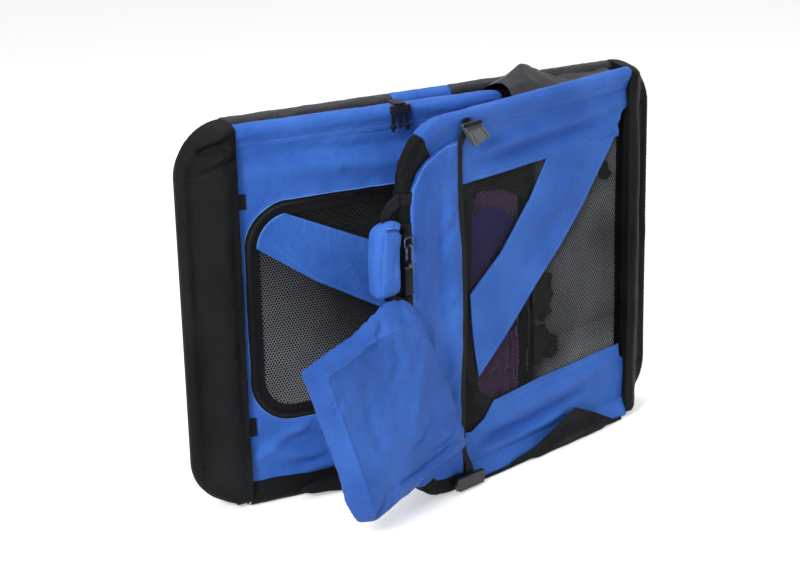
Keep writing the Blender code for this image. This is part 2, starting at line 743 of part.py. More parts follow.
def build_strap(frame):
    """Webbing down the hoop, held off it at both ends for the buckles."""
    lie = PANEL_FRONT_W + CLEARANCE
    stand = SLEEVE_R + CLEARANCE + STRAP_LIFT
    route = (
        (stand, HIGH_Z - 0.004), (stand, HIGH_Z - SLEEVE_R - 0.004), (lie, HIGH_Z - SLEEVE_R - STRAP_RAMP),
        (lie, LOW_Z + SLEEVE_R + STRAP_RAMP), (stand, LOW_Z + SLEEVE_R + 0.012), (stand, STRAP_FOOT_Z),
    )
    back = [frame.point(STRAP_NEAR_U, w, z) for w, z in route]
    front = [frame.point(STRAP_NEAR_U, w + STRAP_T, z) for w, z in route[::-1]]
    direction = frame.point(STRAP_W, 0, 0)
    finish("right_strap", prism(back + front, direction), black_webbing(), frame)


def build_mat(frame):
    """The plum mat, stowed behind the right window's far half."""
    half = ((MAT_FAR_U - MAT_NEAR_U) / 2, MAT_T / 2, (MAT_TOP_Z - MAT_LOW_Z) / 2)
    middle_u = (MAT_FAR_U + MAT_NEAR_U) / 2
    middle_z = (MAT_TOP_Z + MAT_LOW_Z) / 2
    back = -FABRIC_T / 2 - CLEARANCE

    def place(p):
        along = (p.x + half[0]) / (2 * half[0])
        thickness = MAT_THIN + (1.0 - MAT_THIN) * along
        thickness *= 1.0 + MAT_RIPPLE * math.cos(p.z / half[2] * math.pi * 2.5)
        w = back - half[1] * thickness + p.y * thickness
        return frame.point(middle_u + p.x, min(w, back), middle_z + p.z)

    bm = soft_box(half, 9, 5.0, place)
    finish("stowed_mat", bm, material("plum_fleece", PLUM, 0.9), frame)


def build_roof_roll(frame):
    """The roof cloth, gathered into a roll behind the far bar."""
    low = PANEL_LOW_Z + HOOP_CORNER_R * 0.55
    high = PANEL_HIGH_Z - HOOP_CORNER_R * 0.55
    depth = ROLL_R * ROLL_SQUASH
    half = (ROLL_R, depth, (high - low) / 2)
    middle_u = PANEL_FAR_U - CLEARANCE - ROLL_R
    middle_w = -FABRIC_T / 2 - CLEARANCE - depth

    def place(p):
        gather = 1.0 - ROLL_GATHER * (1.0 - math.cos(p.z / half[2] * math.pi * 3.0)) / 2
        w = middle_w + p.y * gather + depth * (1.0 - gather)
        return frame.point(middle_u + p.x * gather, w, (low + high) / 2 + p.z)

    bm = soft_box(half, 8, 3.0, place)
    finish("roof_roll", bm, black_fabric(), frame)


def build_flap(frame):
    """The triangle of black side cloth that pokes up in front of the lower post."""
    back = SLEEVE_R + CLEARANCE
    low = 0.0015
    apex_u = FLAP_NEAR_U + (FLAP_FAR_U - FLAP_NEAR_U) * 0.48
    outline = ((FLAP_NEAR_U, low + 0.004), (FLAP_FAR_U, low), (FLAP_FAR_U - 0.03, low + 0.012),
               (apex_u, low + FLAP_HEIGHT + 0.012), (FLAP_NEAR_U + 0.005, low + 0.014))
    bm = sheet(frame, outline, back, back + 0.004)
    bmesh.ops.subdivide_edges(bm, edges=bm.edges, cuts=3, use_grid_fill=True)
    reach = FLAP_FAR_U - FLAP_NEAR_U
    for vert in bm.verts:
        u = vert.co.x * frame.side
        wave = math.sin((u - FLAP_NEAR_U) / reach * math.pi) ** 2
        vert.co += frame.point(0.0, 0.008 * wave * max(0.0, 1.0 - vert.co.z / (FLAP_HEIGHT * 1.3)), 0.0)
    bmesh.ops.triangulate(bm, faces=bm.faces)
    finish("right_lower_flap", bm, black_fabric(), frame)


def build_male_buckle(frame):
    """The male buckle and its two prongs, hanging on webbing over the top rail."""
    body_w = CORNER_RADIUS + CLEARANCE
    axis_w = body_w + MALE_BODY_T * 0.4
    strip_low = HIGH_Z + SLEEVE_R + CLEARANCE
    axis_z = strip_low + STRAP_T / 2
    half_strap = 0.010
    strip = frame_block(frame, (MALE_U - half_strap, MALE_U + half_strap), (-SLEEVE_R, axis_w),
                        (strip_low, strip_low + STRAP_T * 0.8))
    webbing = finish("male_buckle_webbing", strip, black_webbing(), frame)
    roll = rod(frame.point(MALE_U - half_strap, axis_w, axis_z),
               frame.point(MALE_U + half_strap, axis_w, axis_z), BUCKLE_PIVOT_R)
    join_or_cut(webbing, [roll], "UNION")
    top = axis_z - BUCKLE_PIVOT_R / math.cos(math.pi / TUBE_SIDES) - CLEARANCE
    half_w = BUCKLE_W / 2
    low = top - MALE_BODY_H
    tip = low - MALE_TONGUE
    outline = [(MALE_U - half_w, top), (MALE_U - half_w, low), (MALE_U - 0.0032, low), (MALE_U - 0.0022, tip),
               (MALE_U + 0.0022, tip), (MALE_U + 0.0032, low), (MALE_U + half_w, low), (MALE_U + half_w, top)]
    body = sheet(frame, outline, body_w, body_w + MALE_BODY_T)
    finish("male_buckle_body", body, plastic(), frame)
    for sign, label in ((-1.0, "near"), (1.0, "far")):
        root_u = MALE_U + sign * PRONG_SPREAD
        root_z = low - CLEARANCE - PRONG_ROOT_R
        prong = arc((root_u, root_z), PRONG_ROOT_R, 0, 180, 6)
        neck = root_z - PRONG_LENGTH * 0.62
        barb = root_z - PRONG_LENGTH * 0.66
        end = root_z - PRONG_LENGTH
        prong += [(root_u - PRONG_HALF, neck), (root_u - PRONG_HALF - max(0.0, -sign) * PRONG_HOOK, barb),
                  (root_u - PRONG_HALF / 2, end), (root_u + PRONG_HALF / 2, end),
                  (root_u + PRONG_HALF + max(0.0, sign) * PRONG_HOOK, barb), (root_u + PRONG_HALF, neck)]
        piece = sheet(frame, prong, body_w + 0.0004, body_w + MALE_BODY_T - 0.0004)
        finish(f"male_buckle_{label}_prong", piece, plastic(), frame)


def build_strap_buckles(frame):
    """The female buckle at the strap's top and the buckle at its foot."""
    w = SLEEVE_R + CLEARANCE + STRAP_LIFT + STRAP_T + CLEARANCE
    top = HIGH_Z - 0.004
    female = [(STRAP_NEAR_U + u, top + z) for u, z in FEMALE_SHAPE]
    finish_buckle("female_buckle", frame, female, w)
    foot = LOW_Z + SLEEVE_R + 0.002
    lower = [(STRAP_NEAR_U + u, foot + z) for u, z in FOOT_SHAPE]
    finish_buckle("lower_buckle", frame, lower, w)


def finish_buckle(name, frame, outline, w):
    """A moulded buckle shell from its outline, edges softened."""
    bm = sheet(frame, outline, w, w + BUCKLE_T)
    bmesh.ops.dissolve_limit(bm, angle_limit=0.01, verts=bm.verts, edges=bm.edges)
    bmesh.ops.recalc_face_normals(bm, faces=bm.faces)
    bmesh.ops.bevel(bm, geom=list(bm.edges), offset=BUCKLE_EDGE_R, segments=2, profile=0.5, affect="EDGES")
    bmesh.ops.triangulate(bm, faces=bm.faces)
    finish(name, bm, plastic(), frame)


def build_handle(frame):
    """Webbing looped on the far bar, with a padded wrap round its middle."""
    inner = CORNER_RADIUS + CLEARANCE
    outer = inner + STRAP_T
    half_band = WEBBING_HALF
    sides = TUBE_SIDES * 2
    first = sweep([frame.point(HOOP_REACH, 0, HANDLE_LOW_Z - half_band),
                   frame.point(HOOP_REACH, 0, HANDLE_LOW_Z + half_band)], Vector((0, 1, 0)), outer, inner,
                  sides=sides)
    webbing = finish("handle_webbing", first, black_webbing(), frame)
    second = sweep([frame.point(HOOP_REACH, 0, HANDLE_TOP_Z - half_band),
                    frame.point(HOOP_REACH, 0, HANDLE_TOP_Z + half_band)], Vector((0, 1, 0)), outer, inner,
                   sides=sides)
    out_u = HOOP_REACH + WRAP_OUT
    start_u = HOOP_REACH + inner + STRAP_T * 0.5
    back = [(start_u, HANDLE_LOW_Z - half_band), (out_u - 0.014, HANDLE_LOW_Z), (out_u, HANDLE_LOW_Z + 0.016),
            (out_u, HANDLE_TOP_Z - 0.016), (out_u - 0.014, HANDLE_TOP_Z), (start_u, HANDLE_TOP_Z + half_band)]
    front = [(start_u, HANDLE_TOP_Z - half_band), (out_u - 0.018, HANDLE_TOP_Z - 0.018),
             (out_u - 0.004, HANDLE_TOP_Z - 0.030), (out_u - 0.004, HANDLE_LOW_Z + 0.030),
             (out_u - 0.018, HANDLE_LOW_Z + 0.018), (start_u, HANDLE_LOW_Z + half_band)]
    points = [frame.point(u, 0.003, z) for u, z in back + front]
    strip = prism(points, frame.point(0, 0.006, 0))
    join_or_cut(webbing, [second, strip], "UNION")
    middle_u = out_u - 0.002
    middle_z = (WRAP_LOW_Z + WRAP_TOP_Z) / 2
    half = (WRAP_W / 2, WRAP_T / 2, (WRAP_TOP_Z - WRAP_LOW_Z) / 2)

    def place(p):
        pinch = 1.0 - 0.12 * math.exp(-((p.z - half[2] * 0.72) / 0.006) ** 2)
        return frame.point(middle_u + p.x * pinch, 0.006 + p.y * pinch, middle_z + p.z)

    wrap = finish("handle_wrap", soft_box(half, 8, 4.0, place), blue_fabric(), frame)
    bore_gap = CLEARANCE
    bore = frame_block(frame, (out_u - 0.004 - bore_gap, out_u + bore_gap),
                       (0.003 - bore_gap, 0.009 + bore_gap), (WRAP_LOW_Z - 0.02, WRAP_TOP_Z + 0.02))
    join_or_cut(wrap, [bore], "DIFFERENCE")


def build_ring_and_hook(frame):
    """D-ring on a keeper loop, and the snap hook that hangs from it."""
    inner = SLEEVE_R + CLEARANCE
    outer = inner + STRAP_T
    top = KEEPER_Z - WEBBING_HALF
    path = [frame.point(HOOP_REACH, 0, top), frame.point(HOOP_REACH, 0, KEEPER_Z + WEBBING_HALF)]
    keeper = finish("ring_keeper", sweep(path, Vector((0, 1, 0)), outer, inner), black_webbing(), frame)
    tab = frame_block(frame, (RING_U - 0.008, RING_U + 0.008), (0.0125, RING_W + 0.001),
                      (top + 0.002, top + 0.005))
    join_or_cut(keeper, [tab], "UNION")
    half = RING_HALF
    ring_top = top + 0.002 - CLEARANCE - RING_WIRE_R
    flat = [(RING_U - half + 0.002, RING_Z), (RING_U - half, RING_Z + 0.002)]
    flat += [(RING_U - half, ring_top - 0.002), (RING_U - half + 0.002, ring_top)]
    flat += [(RING_U + half - 0.002, ring_top), (RING_U + half, ring_top - 0.002)]
    flat += [(RING_U + half, RING_Z + 0.002), (RING_U + half - 0.002, RING_Z)]
    finish("d_ring", closed_wire([frame.point(u, RING_W, z) for u, z in flat]), zinc(), frame)
    build_hook(frame)


def closed_wire(points):
    """A closed ring of round wire through points in an X-Z plane."""
    bm = bmesh.new()
    loops = []
    count = len(points)
    for k, centre in enumerate(points):
        along = (points[(k + 1) % count] - points[k - 1]).normalized()
        forward = Vector((0, 1, 0))
        loops.append(ring_loop(bm, centre, along.cross(forward), forward, RING_WIRE_R, 8))
    for k in range(count):
        bridge(bm, loops[k], loops[(k + 1) % count])
    return bm


def build_hook(frame):
    """Snap hook: a bow over the ring's lower bar, a spine, a foot and a T bar."""
    axis_z = hook_axis_z()
    out = HOOK_R + HOOK_WIRE
    foot_top = -0.0205
    foot_low = -0.0245
    outline = arc((0, 0), out, 0, 180, 10)
    toe = out - 0.0005
    outline += [(-out, foot_low), (toe, foot_low), (toe, foot_top), (-HOOK_R, foot_top)]
    outline += arc((0, 0), HOOK_R, 180, 0, 10)
    points = [frame.point(RING_U - HOOK_T / 2, RING_W + w, axis_z + z) for w, z in outline]
    bm = prism(points, frame.point(HOOK_T, 0, 0))
    hook = finish("snap_hook", bm, zinc(), frame)
    bar_z = axis_z + foot_low - 0.006
    bar = rod(frame.point(RING_U - 0.0095, RING_W, bar_z),
              frame.point(RING_U + 0.0095, RING_W, bar_z), 0.0022)
    neck = frame_block(frame, (RING_U - 0.0018, RING_U + 0.0018), (RING_W - 0.0017, RING_W + 0.0017),
                       (bar_z, axis_z + foot_low + 0.002))
    join_or_cut(hook, [neck, bar], "UNION")
    gate_w = RING_W + HOOK_R + HOOK_WIRE / 2
    root_z = axis_z - 0.0175
    gate = [(gate_w + 0.0016 * math.cos(math.radians(a)), root_z + 0.0016 * math.sin(math.radians(a)))
            for a in range(180, 361, 30)]
    gate += [(gate_w + 0.0016, axis_z - CLEARANCE * 2), (gate_w - 0.0016, axis_z - CLEARANCE * 2)]
    gate_points = [frame.point(RING_U - 0.002, w, z) for w, z in gate]
    finish("hook_gate", prism(gate_points, frame.point(0.004, 0, 0)), zinc(), frame)


def hook_axis_z():
    """Height of the hook bow's centre, below the ring bar that it hangs on."""
    return RING_Z - (HOOK_R - RING_WIRE_R / math.cos(math.pi / 8) - CLEARANCE)


def build_bag(frame):
    """The accessory bag, leaning as it hangs, and its hanging webbing."""
    bar_low = hook_axis_z() - 0.0245 - 0.006 - 0.0022 / math.cos(math.pi / TUBE_SIDES)
    webbing_top = bar_low - CLEARANCE
    webbing_low = webbing_top - BAG_WEBBING_H
    strip = frame_block(frame, (RING_U - 0.008, RING_U + 0.008), (RING_W - 0.0013, RING_W + 0.0013),
                        (webbing_low, webbing_top))
    finish("bag_webbing", strip, black_webbing(), frame)
    lean = math.radians(BAG_LEAN_DEG)
    tilt = math.radians(BAG_TILT_DEG)
    half_width = BAG_WIDTH / 2
    half_height = BAG_HEIGHT / 2
    def place(p):
        left = (1.0 + p.x) / 2
        upper = (1.0 + p.z) / 2
        rear = (1.0 - p.y) / 2
        u = BAG_MIDDLE_U + p.x * half_width * math.cos(tilt) + p.z * half_height * math.sin(lean)
        z = -p.x * half_width * math.sin(tilt) + p.z * half_height * math.cos(lean)
        z += rear * (BAG_PEAK * upper * (1.0 - left) - BAG_BACK_DROP * (1.0 - upper))
        back_w = BAG_LOW_BACK_W + (BAG_TOP_BACK_W - BAG_LOW_BACK_W) * upper
        crown = BAG_CROWN * (1.0 - p.x ** 2) * (1.0 - p.z ** 2) * (1.0 - rear)
        return frame.point(u, back_w * rear + BAG_FRONT_W * (1.0 - rear) + crown, z)

    bag = soft_box((1.0, 1.0, 1.0), 6, 9.0, place)
    tree = BVHTree.FromBMesh(bag)
    heights = []
    for step in range(-4, 5):
        for side_w in (-0.0013, 0.0, 0.0013):
            above = frame.point(RING_U + 0.002 * step, RING_W + side_w, 1.0)
            hit = tree.ray_cast(above, Vector((0, 0, -1)))[0]
            if hit is not None:
                heights.append(hit.z)
    rise = webbing_low - CLEARANCE - max(heights)
    bmesh.ops.translate(bag, verts=bag.verts, vec=(0.0, 0.0, rise))
    finish("bag_body", bag, blue_fabric(), frame)


def build_gussets(world):
    """Side-wall cloth between the base's long edges and the hoops' posts."""
    for side, label in ((-1.0, "left"), (1.0, "right")):
        for high, level in ((True, "upper"), (False, "lower")):
            bm = gusset(side, high)
            finish(f"{level}_{label}_gusset", bm, black_fabric(), world)


def gusset(side, high):
    """One pleated fan, from the base edge to a hoop's post."""
    axis_y = LEFT_AXIS_Y if side < 0 else RIGHT_AXIS_Y
    opening = math.radians(LEFT_OPEN_DEG if side < 0 else RIGHT_OPEN_DEG)
    start = GUSSET_START
    reach = LEFT_GUSSET_REACH if side < 0 else RIGHT_GUSSET_REACH
    if side > 0 and high:
        reach = BUMP_REACH
    level = HIGH_Z if high else LOW_Z
    up = 1.0 if high else -1.0
    columns = 12
    rows = 6
    bm = bmesh.new()
    layers = []
    for thick in (0.0, GUSSET_T):
        grid = []
        for i in range(columns + 1):
            r = start + (reach - start) * i / columns
            x = side * (AXIS_X - r)
            back_y = -SLEEVE_R - CLEARANCE * 2
            front_y = -axis_y - r * math.tan(opening) + CORNER_RADIUS / math.cos(opening) + CLEARANCE * 2
            line = []
            for j in range(rows + 1):
                t = j / rows
                y = back_y + (front_y - back_y) * t
                ramp = math.sin(math.pi * i / columns)
                if high and side > 0:
                    off_top = min(1.0, abs(r - BUMP_OUT) / BUMP_HALF)
                    lift = BUMP_HEIGHT * math.sin(math.pi * t) ** 2 * math.cos(math.pi / 2 * off_top) ** 2
                else:
                    lift = -GUSSET_DIP * math.sin(math.pi * t) ** 2 * (0.4 + 0.6 * ramp)
                z = level + up * (GUSSET_SIT + lift + thick)
                line.append(bm.verts.new((x, y, z)))
            grid.append(line)
        layers.append(grid)
    for grid in layers:
        for i in range(columns):
            for j in range(rows):
                bm.faces.new((grid[i][j], grid[i + 1][j], grid[i + 1][j + 1], grid[i][j + 1]))
    low, top = layers
    for i in range(columns):
        bm.faces.new((low[i][0], low[i + 1][0], top[i + 1][0], top[i][0]))
        bm.faces.new((low[i][rows], low[i + 1][rows], top[i + 1][rows], top[i][rows]))
    for j in range(rows):
        bm.faces.new((low[0][j], low[0][j + 1], top[0][j + 1], top[0][j]))
        bm.faces.new((low[columns][j], low[columns][j + 1], top[columns][j + 1], top[columns][j]))
    return bm


def main():
    """Build the whole crate."""
    clear_scene()
    world = Frame()
    left = hinge_frame("left_hinge_axis", -AXIS_X, -LEFT_AXIS_Y, -LEFT_OPEN_DEG, 1.0)
    right = hinge_frame("right_hinge_axis", AXIS_X, -RIGHT_AXIS_Y, RIGHT_OPEN_DEG, -1.0)
    build_base(world)
    for x, y, name in ((-AXIS_X, LEFT_AXIS_Y, "left"), (AXIS_X, RIGHT_AXIS_Y, "right")):
        build_hinge(world, x, y, LOW_Z, f"{name}_lower_hinge")
        build_hinge(world, x, y, HIGH_Z, f"{name}_upper_hinge")
    build_left_hoop(left)
    build_zip_slider(left)
    build_male_buckle(left)
    build_right_hoop(right)
    build_strap_buckles(right)
    build_handle(right)
    build_ring_and_hook(right)
    build_bag(right)
    build_gussets(world)


main()
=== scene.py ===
"""The looks of a folding dog crate: cloth sewn over two hinged steel hoops, standing folded on its long edge."""

import logging
import math
from collections.abc import Callable, Sequence
from dataclasses import dataclass, field, replace
from enum import Enum
from functools import lru_cache

import bmesh
import bpy
import numpy as np
from bpy.types import Material, Mesh, Node, NodeSocket, NodeTree
from bpy.types import Object as Piece
from mathutils import Matrix, Vector, noise
from mathutils.bvhtree import BVHTree
from mathutils.geometry import delaunay_2d_cdt


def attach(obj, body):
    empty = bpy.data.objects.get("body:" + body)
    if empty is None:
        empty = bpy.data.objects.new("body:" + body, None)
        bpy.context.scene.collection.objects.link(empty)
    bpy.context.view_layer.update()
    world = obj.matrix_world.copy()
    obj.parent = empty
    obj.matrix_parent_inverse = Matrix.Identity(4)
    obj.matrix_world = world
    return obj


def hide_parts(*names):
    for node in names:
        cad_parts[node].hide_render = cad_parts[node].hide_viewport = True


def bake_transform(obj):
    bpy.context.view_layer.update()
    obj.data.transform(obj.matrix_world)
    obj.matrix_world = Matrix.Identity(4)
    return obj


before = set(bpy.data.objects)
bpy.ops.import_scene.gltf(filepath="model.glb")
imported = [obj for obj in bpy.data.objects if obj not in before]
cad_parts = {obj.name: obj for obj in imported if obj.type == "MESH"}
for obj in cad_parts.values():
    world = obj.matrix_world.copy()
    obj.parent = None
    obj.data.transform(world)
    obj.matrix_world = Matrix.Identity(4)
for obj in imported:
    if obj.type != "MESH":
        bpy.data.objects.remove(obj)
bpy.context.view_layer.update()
log = logging.getLogger("dog_crate")

Colour = tuple[float, float, float, float]
Spot = tuple[float, float]


def tint(red: float, green: float, blue: float) -> Colour:
    """A colour as a screen shows it, 0 to 255 a channel, turned into linear light."""
    levels = (channel / 255 for channel in (red, green, blue))
    return *(v / 12.92 if v <= 0.04045 else ((v + 0.055) / 1.055) ** 2.4 for v in levels), 1.0


def spots(*mm: float) -> list[Spot]:
    """Places on a plane, from their u and z by turns in millimetres."""
    metres = [round(value / 1000, 6) for value in mm]
    return list(zip(metres[::2], metres[1::2]))


# Shader nodes


def plug(tree: NodeTree, socket: NodeSocket, value: object) -> None:
    """Link a signal or a socket into a node's socket, or set a plain value there."""
    value = value.socket if isinstance(value, Signal) else value
    if isinstance(value, NodeSocket):
        tree.links.new(value, socket)
    else:
        socket.default_value = value


def add_node(tree: NodeTree, kind: str, sockets: dict, **settings: object) -> Node:
    """Add a node to a tree.

    Args:
        tree: The tree.
        kind: The node's type.
        sockets: What goes into its sockets, by name or number.
        settings: The node's own settings, set first.

    Returns:
        The node.
    """
    node = tree.nodes.new(kind)
    for key, value in settings.items():
        setattr(node, key, value)
    for key, value in sockets.items():
        plug(tree, node.inputs[key], value)
    return node


class Signal:
    """A number that varies over a surface, used in plain arithmetic."""

    def __init__(self, tree: NodeTree, socket: NodeSocket) -> None:
        """Keep the tree and the socket that carries the number."""
        self.tree, self.socket = tree, socket

    def join(self, operation: str, *values: "Signal | float", clamp: bool = False) -> "Signal":
        """The result of one new Math node."""
        node = add_node(self.tree, "ShaderNodeMath", dict(enumerate(values)), operation=operation, use_clamp=clamp)
        return Signal(self.tree, node.outputs[0])

    def __add__(self, other: "Signal | float") -> "Signal":
        """Sum."""
        return self.join("ADD", self, other)

    __radd__ = __add__

    def __sub__(self, other: "Signal | float") -> "Signal":
        """Difference."""
        return self.join("SUBTRACT", self, other)

    def __rsub__(self, other: float) -> "Signal":
        """Difference, from a plain number."""
        return self.join("SUBTRACT", other, self)

    def __mul__(self, other: "Signal | float") -> "Signal":
        """Product."""
        return self.join("MULTIPLY", self, other)

    __rmul__ = __mul__

    def __truediv__(self, other: "Signal | float") -> "Signal":
        """Quotient."""
        return self.join("DIVIDE", self, other)

    def wave(self) -> "Signal":
        """The sine, moved to run from 0 to 1."""
        return self.join("SINE", self) * 0.5 + 0.5

    def size(self) -> "Signal":
        """The value without its sign."""
        return self.join("ABSOLUTE", self)

    def ramp(self, low: float, high: float) -> "Signal":
        """Rise from 0 at low to 1 at high, and stay there."""
        return self.join("ADD", (self - low) / (high - low), 0.0, clamp=True)


class Recipe:
    """One material in the making."""

    def __init__(self, name: str) -> None:
        """Start a material with its shader and the object's own coordinates.

        Args:
            name: The material's name.
        """
        self.material = bpy.data.materials.new(name)
        self.material.use_nodes = True
        self.tree = self.material.node_tree
        self.shader = self.tree.nodes["Principled BSDF"]
        self.where = self.node("ShaderNodeTexCoord", {}).outputs["Object"]

    def node(self, kind: str, sockets: dict, **settings: object) -> Node:
        """Add any node, its settings first."""
        return add_node(self.tree, kind, sockets, **settings)

    def axes(self, where: NodeSocket) -> list[Signal]:
        """The three numbers of a vector."""
        return [Signal(self.tree, out) for out in self.node("ShaderNodeSeparateXYZ", {"Vector": where}).outputs]

    def read(self, name: str) -> Signal:
        """A number that each point of the piece carries."""
        return Signal(self.tree, self.node("ShaderNodeAttribute", {}, attribute_name=name).outputs["Fac"])

    def cloud(self, scale: float, detail: float = 2.0, twist: float = 0.0, flow: float = 1.0) -> Signal:
        """Soft noise from 0 to 1.

        Args:
            scale: Spots per metre.
            detail: How many finer layers it has.
            twist: How far it is drawn out of shape.
            flow: Its scale upwards.

        Returns:
            The noise.
        """
        where = self.where
        if flow != 1.0:
            where = self.node("ShaderNodeMapping", {"Vector": where, "Scale": (1.0, 1.0, flow)}).outputs[0]
        made = self.node("ShaderNodeTexNoise", {
            "Vector": where, "Scale": scale, "Detail": detail, "Distortion": twist})
        return Signal(self.tree, made.outputs[0])

    def blend(self, share: Signal | float, first: object, second: object) -> NodeSocket:
        """Mix two colours, by how much of the second one shows."""
        return self.node("ShaderNodeMix", {0: share, 6: first, 7: second}, data_type="RGBA").outputs[2]

    def bump(self, height: Signal, distance: float, strength: float, below: NodeSocket | None = None) -> NodeSocket:
        """Relief finer than the mesh, from a height of 0 to 1 and its size in metres, on the normal below it."""
        sockets = {"Height": height, "Distance": distance, "Strength": strength}
        return self.node("ShaderNodeBump", sockets | ({} if below is None else {"Normal": below})).outputs[0]

    def feed(self, **values: object) -> Material:
        """Give the shader its values, with underscores for the spaces in their names."""
        for key, value in values.items():
            plug(self.tree, self.shader.inputs[key.replace("_", " ")], value)
        return self.material


# Finishes


@dataclass(frozen=True)
class Finish:
    """What a surface is made of: its name, its material slot and its colours."""

    name: str
    slot: str
    colour: Colour
    pale: Colour

    @lru_cache(maxsize=None)
    def material(self) -> Material:
        """The finish's material, made once."""
        return self.mix(Recipe(self.name))

    def mix(self, made: Recipe) -> Material:
        """Fill in the recipe."""
        raise NotImplementedError


@dataclass(frozen=True)
class Cloth(Finish):
    """Plain woven polyester, with a light coat and soft creases."""

    dark: Colour
    roughness: float = 0.60
    thread: float = 0.0011
    crumple: float = 0.0016
    sheen: float = 0.04
    shine: float = 0.16
    painted_shade: bool = False

    def mix(self, made: Recipe) -> Material:
        """Weave the threads, then crease and wear the cloth, and for net yarn paint shade on it from each point's fade
        share.

        Args:
            made: The recipe to fill in.

        Returns:
            The material.
        """
        x, y, z = made.axes(made.where)
        turn = 2 * math.pi / self.thread
        warp = ((x + y) * turn).wave()
        weft = ((z + y * 0.6) * turn).wave()
        threads = warp * weft + (1 - warp) * (1 - weft)
        broad = made.cloud(7.0, 2.0, 0.4)
        fuzz = made.cloud(420.0)
        creases = made.cloud(34.0, 3.0, 1.6)
        sharp = 1 - (made.cloud(11.0, 1.0, 0.5) - 0.5).size().ramp(0.0, 0.05)
        shade = made.blend(broad.ramp(0.3, 0.7), self.dark, self.pale)
        shade = made.blend(0.55, self.colour, shade)
        shade = made.blend(threads * 0.30, shade, self.dark)
        shade = made.blend(fuzz.ramp(0.62, 0.85) * 0.35, shade, self.pale)
        if self.painted_shade:
            # Painted shade: each point's fade share darkens the yarn where the net lies in shadow.
            shade = made.blend(made.read("fade"), shade, self.dark)
        soft = made.bump(creases * 0.92 + sharp * 0.08, self.crumple, 0.7)
        fine = made.bump(threads * 0.7 + fuzz * 0.3, 0.00022, 0.8, soft)
        return made.feed(Base_Color=shade, Roughness=(fuzz - 0.5) * 0.2 + self.roughness, Normal=fine,
                         Sheen_Weight=self.sheen, Sheen_Roughness=0.45, Specular_IOR_Level=self.shine)


@dataclass(frozen=True)
class Webbing(Finish):
    """Flat woven tape with ribs along it."""

    rib: float = 0.0016

    def mix(self, made: Recipe) -> Material:
        """Rib the tape along its own coordinates.

        Args:
            made: The recipe to fill in.

        Returns:
            The material.
        """
        along, across, _ = made.axes(made.node("ShaderNodeUVMap", {}, uv_map="cloth").outputs[0])
        ribs = (across * (2 * math.pi / self.rib)).wave()
        picks = (along * (2 * math.pi / (self.rib * 0.8)) + ribs * 1.6).wave()
        fuzz = made.cloud(500.0)
        height = ribs * 0.6 + picks * 0.3 + fuzz * 0.1
        shade = made.blend(height.ramp(0.35, 0.95) * 0.5 + made.cloud(16.0) * 0.25, self.colour, self.pale)
        return made.feed(Base_Color=shade, Roughness=(fuzz - 0.5) * 0.2 + 0.52,
                         Normal=made.bump(height, 0.0004, 0.9), Specular_IOR_Level=0.12)


@dataclass(frozen=True)
class Moulded(Finish):
    """Injection-moulded plastic with a fine spark-etched grain."""

    roughness: float = 0.42

    def mix(self, made: Recipe) -> Material:
        """Scuff the grain.

        Args:
            made: The recipe to fill in.

        Returns:
            The material.
        """
        scuff = made.cloud(60.0, 4.0, 1.0, 0.3)
        wear = made.cloud(110.0).ramp(0.58, 0.75)
        shade = made.blend(scuff.ramp(0.5, 0.8) * 0.5 + wear * 0.25, self.colour, self.pale)
        return made.feed(Base_Color=shade, Roughness=scuff * 0.18 + self.roughness - 0.08,
                         Normal=made.bump(made.cloud(900.0), 0.00008, 0.6), Specular_IOR_Level=0.5)


@dataclass(frozen=True)
class Metal(Finish):
    """Drawn steel tube, coated steel or cast zinc."""

    roughness: float = 0.32

    def mix(self, made: Recipe) -> Material:
        """Stain and scratch the metal.

        Args:
            made: The recipe to fill in.

        Returns:
            The material.
        """
        stain = made.cloud(45.0, 4.0, 0.8)
        scratch = made.cloud(700.0, 2.0, 0.0, 0.06)
        rough = stain * 0.22 + scratch * 0.12 + (self.roughness - 0.12)
        return made.feed(Base_Color=made.blend(stain.ramp(0.42, 0.72), self.colour, self.pale),
                         Metallic=1.0 - stain.ramp(0.62, 0.8) * 0.3, Roughness=rough,
                         Normal=made.bump(scratch * 0.5 + stain * 0.5, 0.0001, 0.5))


@dataclass(frozen=True)
class Fleece(Finish):
    """Short-pile fleece, matted into soft lumps."""

    def mix(self, made: Recipe) -> Material:
        """Lump the pile.

        Args:
            made: The recipe to fill in.

        Returns:
            The material.
        """
        pile = made.cloud(620.0, 3.0, 0.6)
        lumps = made.cloud(70.0, 3.0, 0.8)
        shade = made.blend(pile.ramp(0.3, 0.75) * 0.6 + lumps * 0.4, self.colour, self.pale)
        return made.feed(Base_Color=shade, Roughness=0.92, Sheen_Weight=0.5, Sheen_Roughness=0.5,
                         Normal=made.bump(pile, 0.0008, 0.8, made.bump(lumps, 0.0022, 0.7)), Specular_IOR_Level=0.2)


BLUE = Cloth("blue_cloth", "blue_fabric", tint(54, 104, 194), tint(74, 128, 218), tint(34, 78, 160),
             crumple=0.0027)
BLACK = Cloth("black_cloth", "black_fabric", tint(22, 22, 23), tint(37, 38, 40), tint(12, 12, 13),
              roughness=0.58, sheen=0.0, shine=0.07, crumple=0.0034)
# Edging: real piping, whose colour, paler than the blue cloth, is partly a painted highlight on the lit sewn edge.
PIPING = Cloth("pale_blue_edging", "blue_fabric", tint(92, 146, 232), tint(112, 162, 240), tint(64, 116, 206),
               crumple=0.0003)
# Glossier black cloth for the top rail sleeves and upper fans; its colour, paler than the black cloth, is partly
# painted light on these upward faces.
LIT_SATIN = Cloth("black_satin_painted_top_light", "black_fabric", tint(44, 46, 50), tint(62, 65, 70), tint(24, 25, 27),
              roughness=0.44, sheen=0.0, shine=0.24, crumple=0.0034)
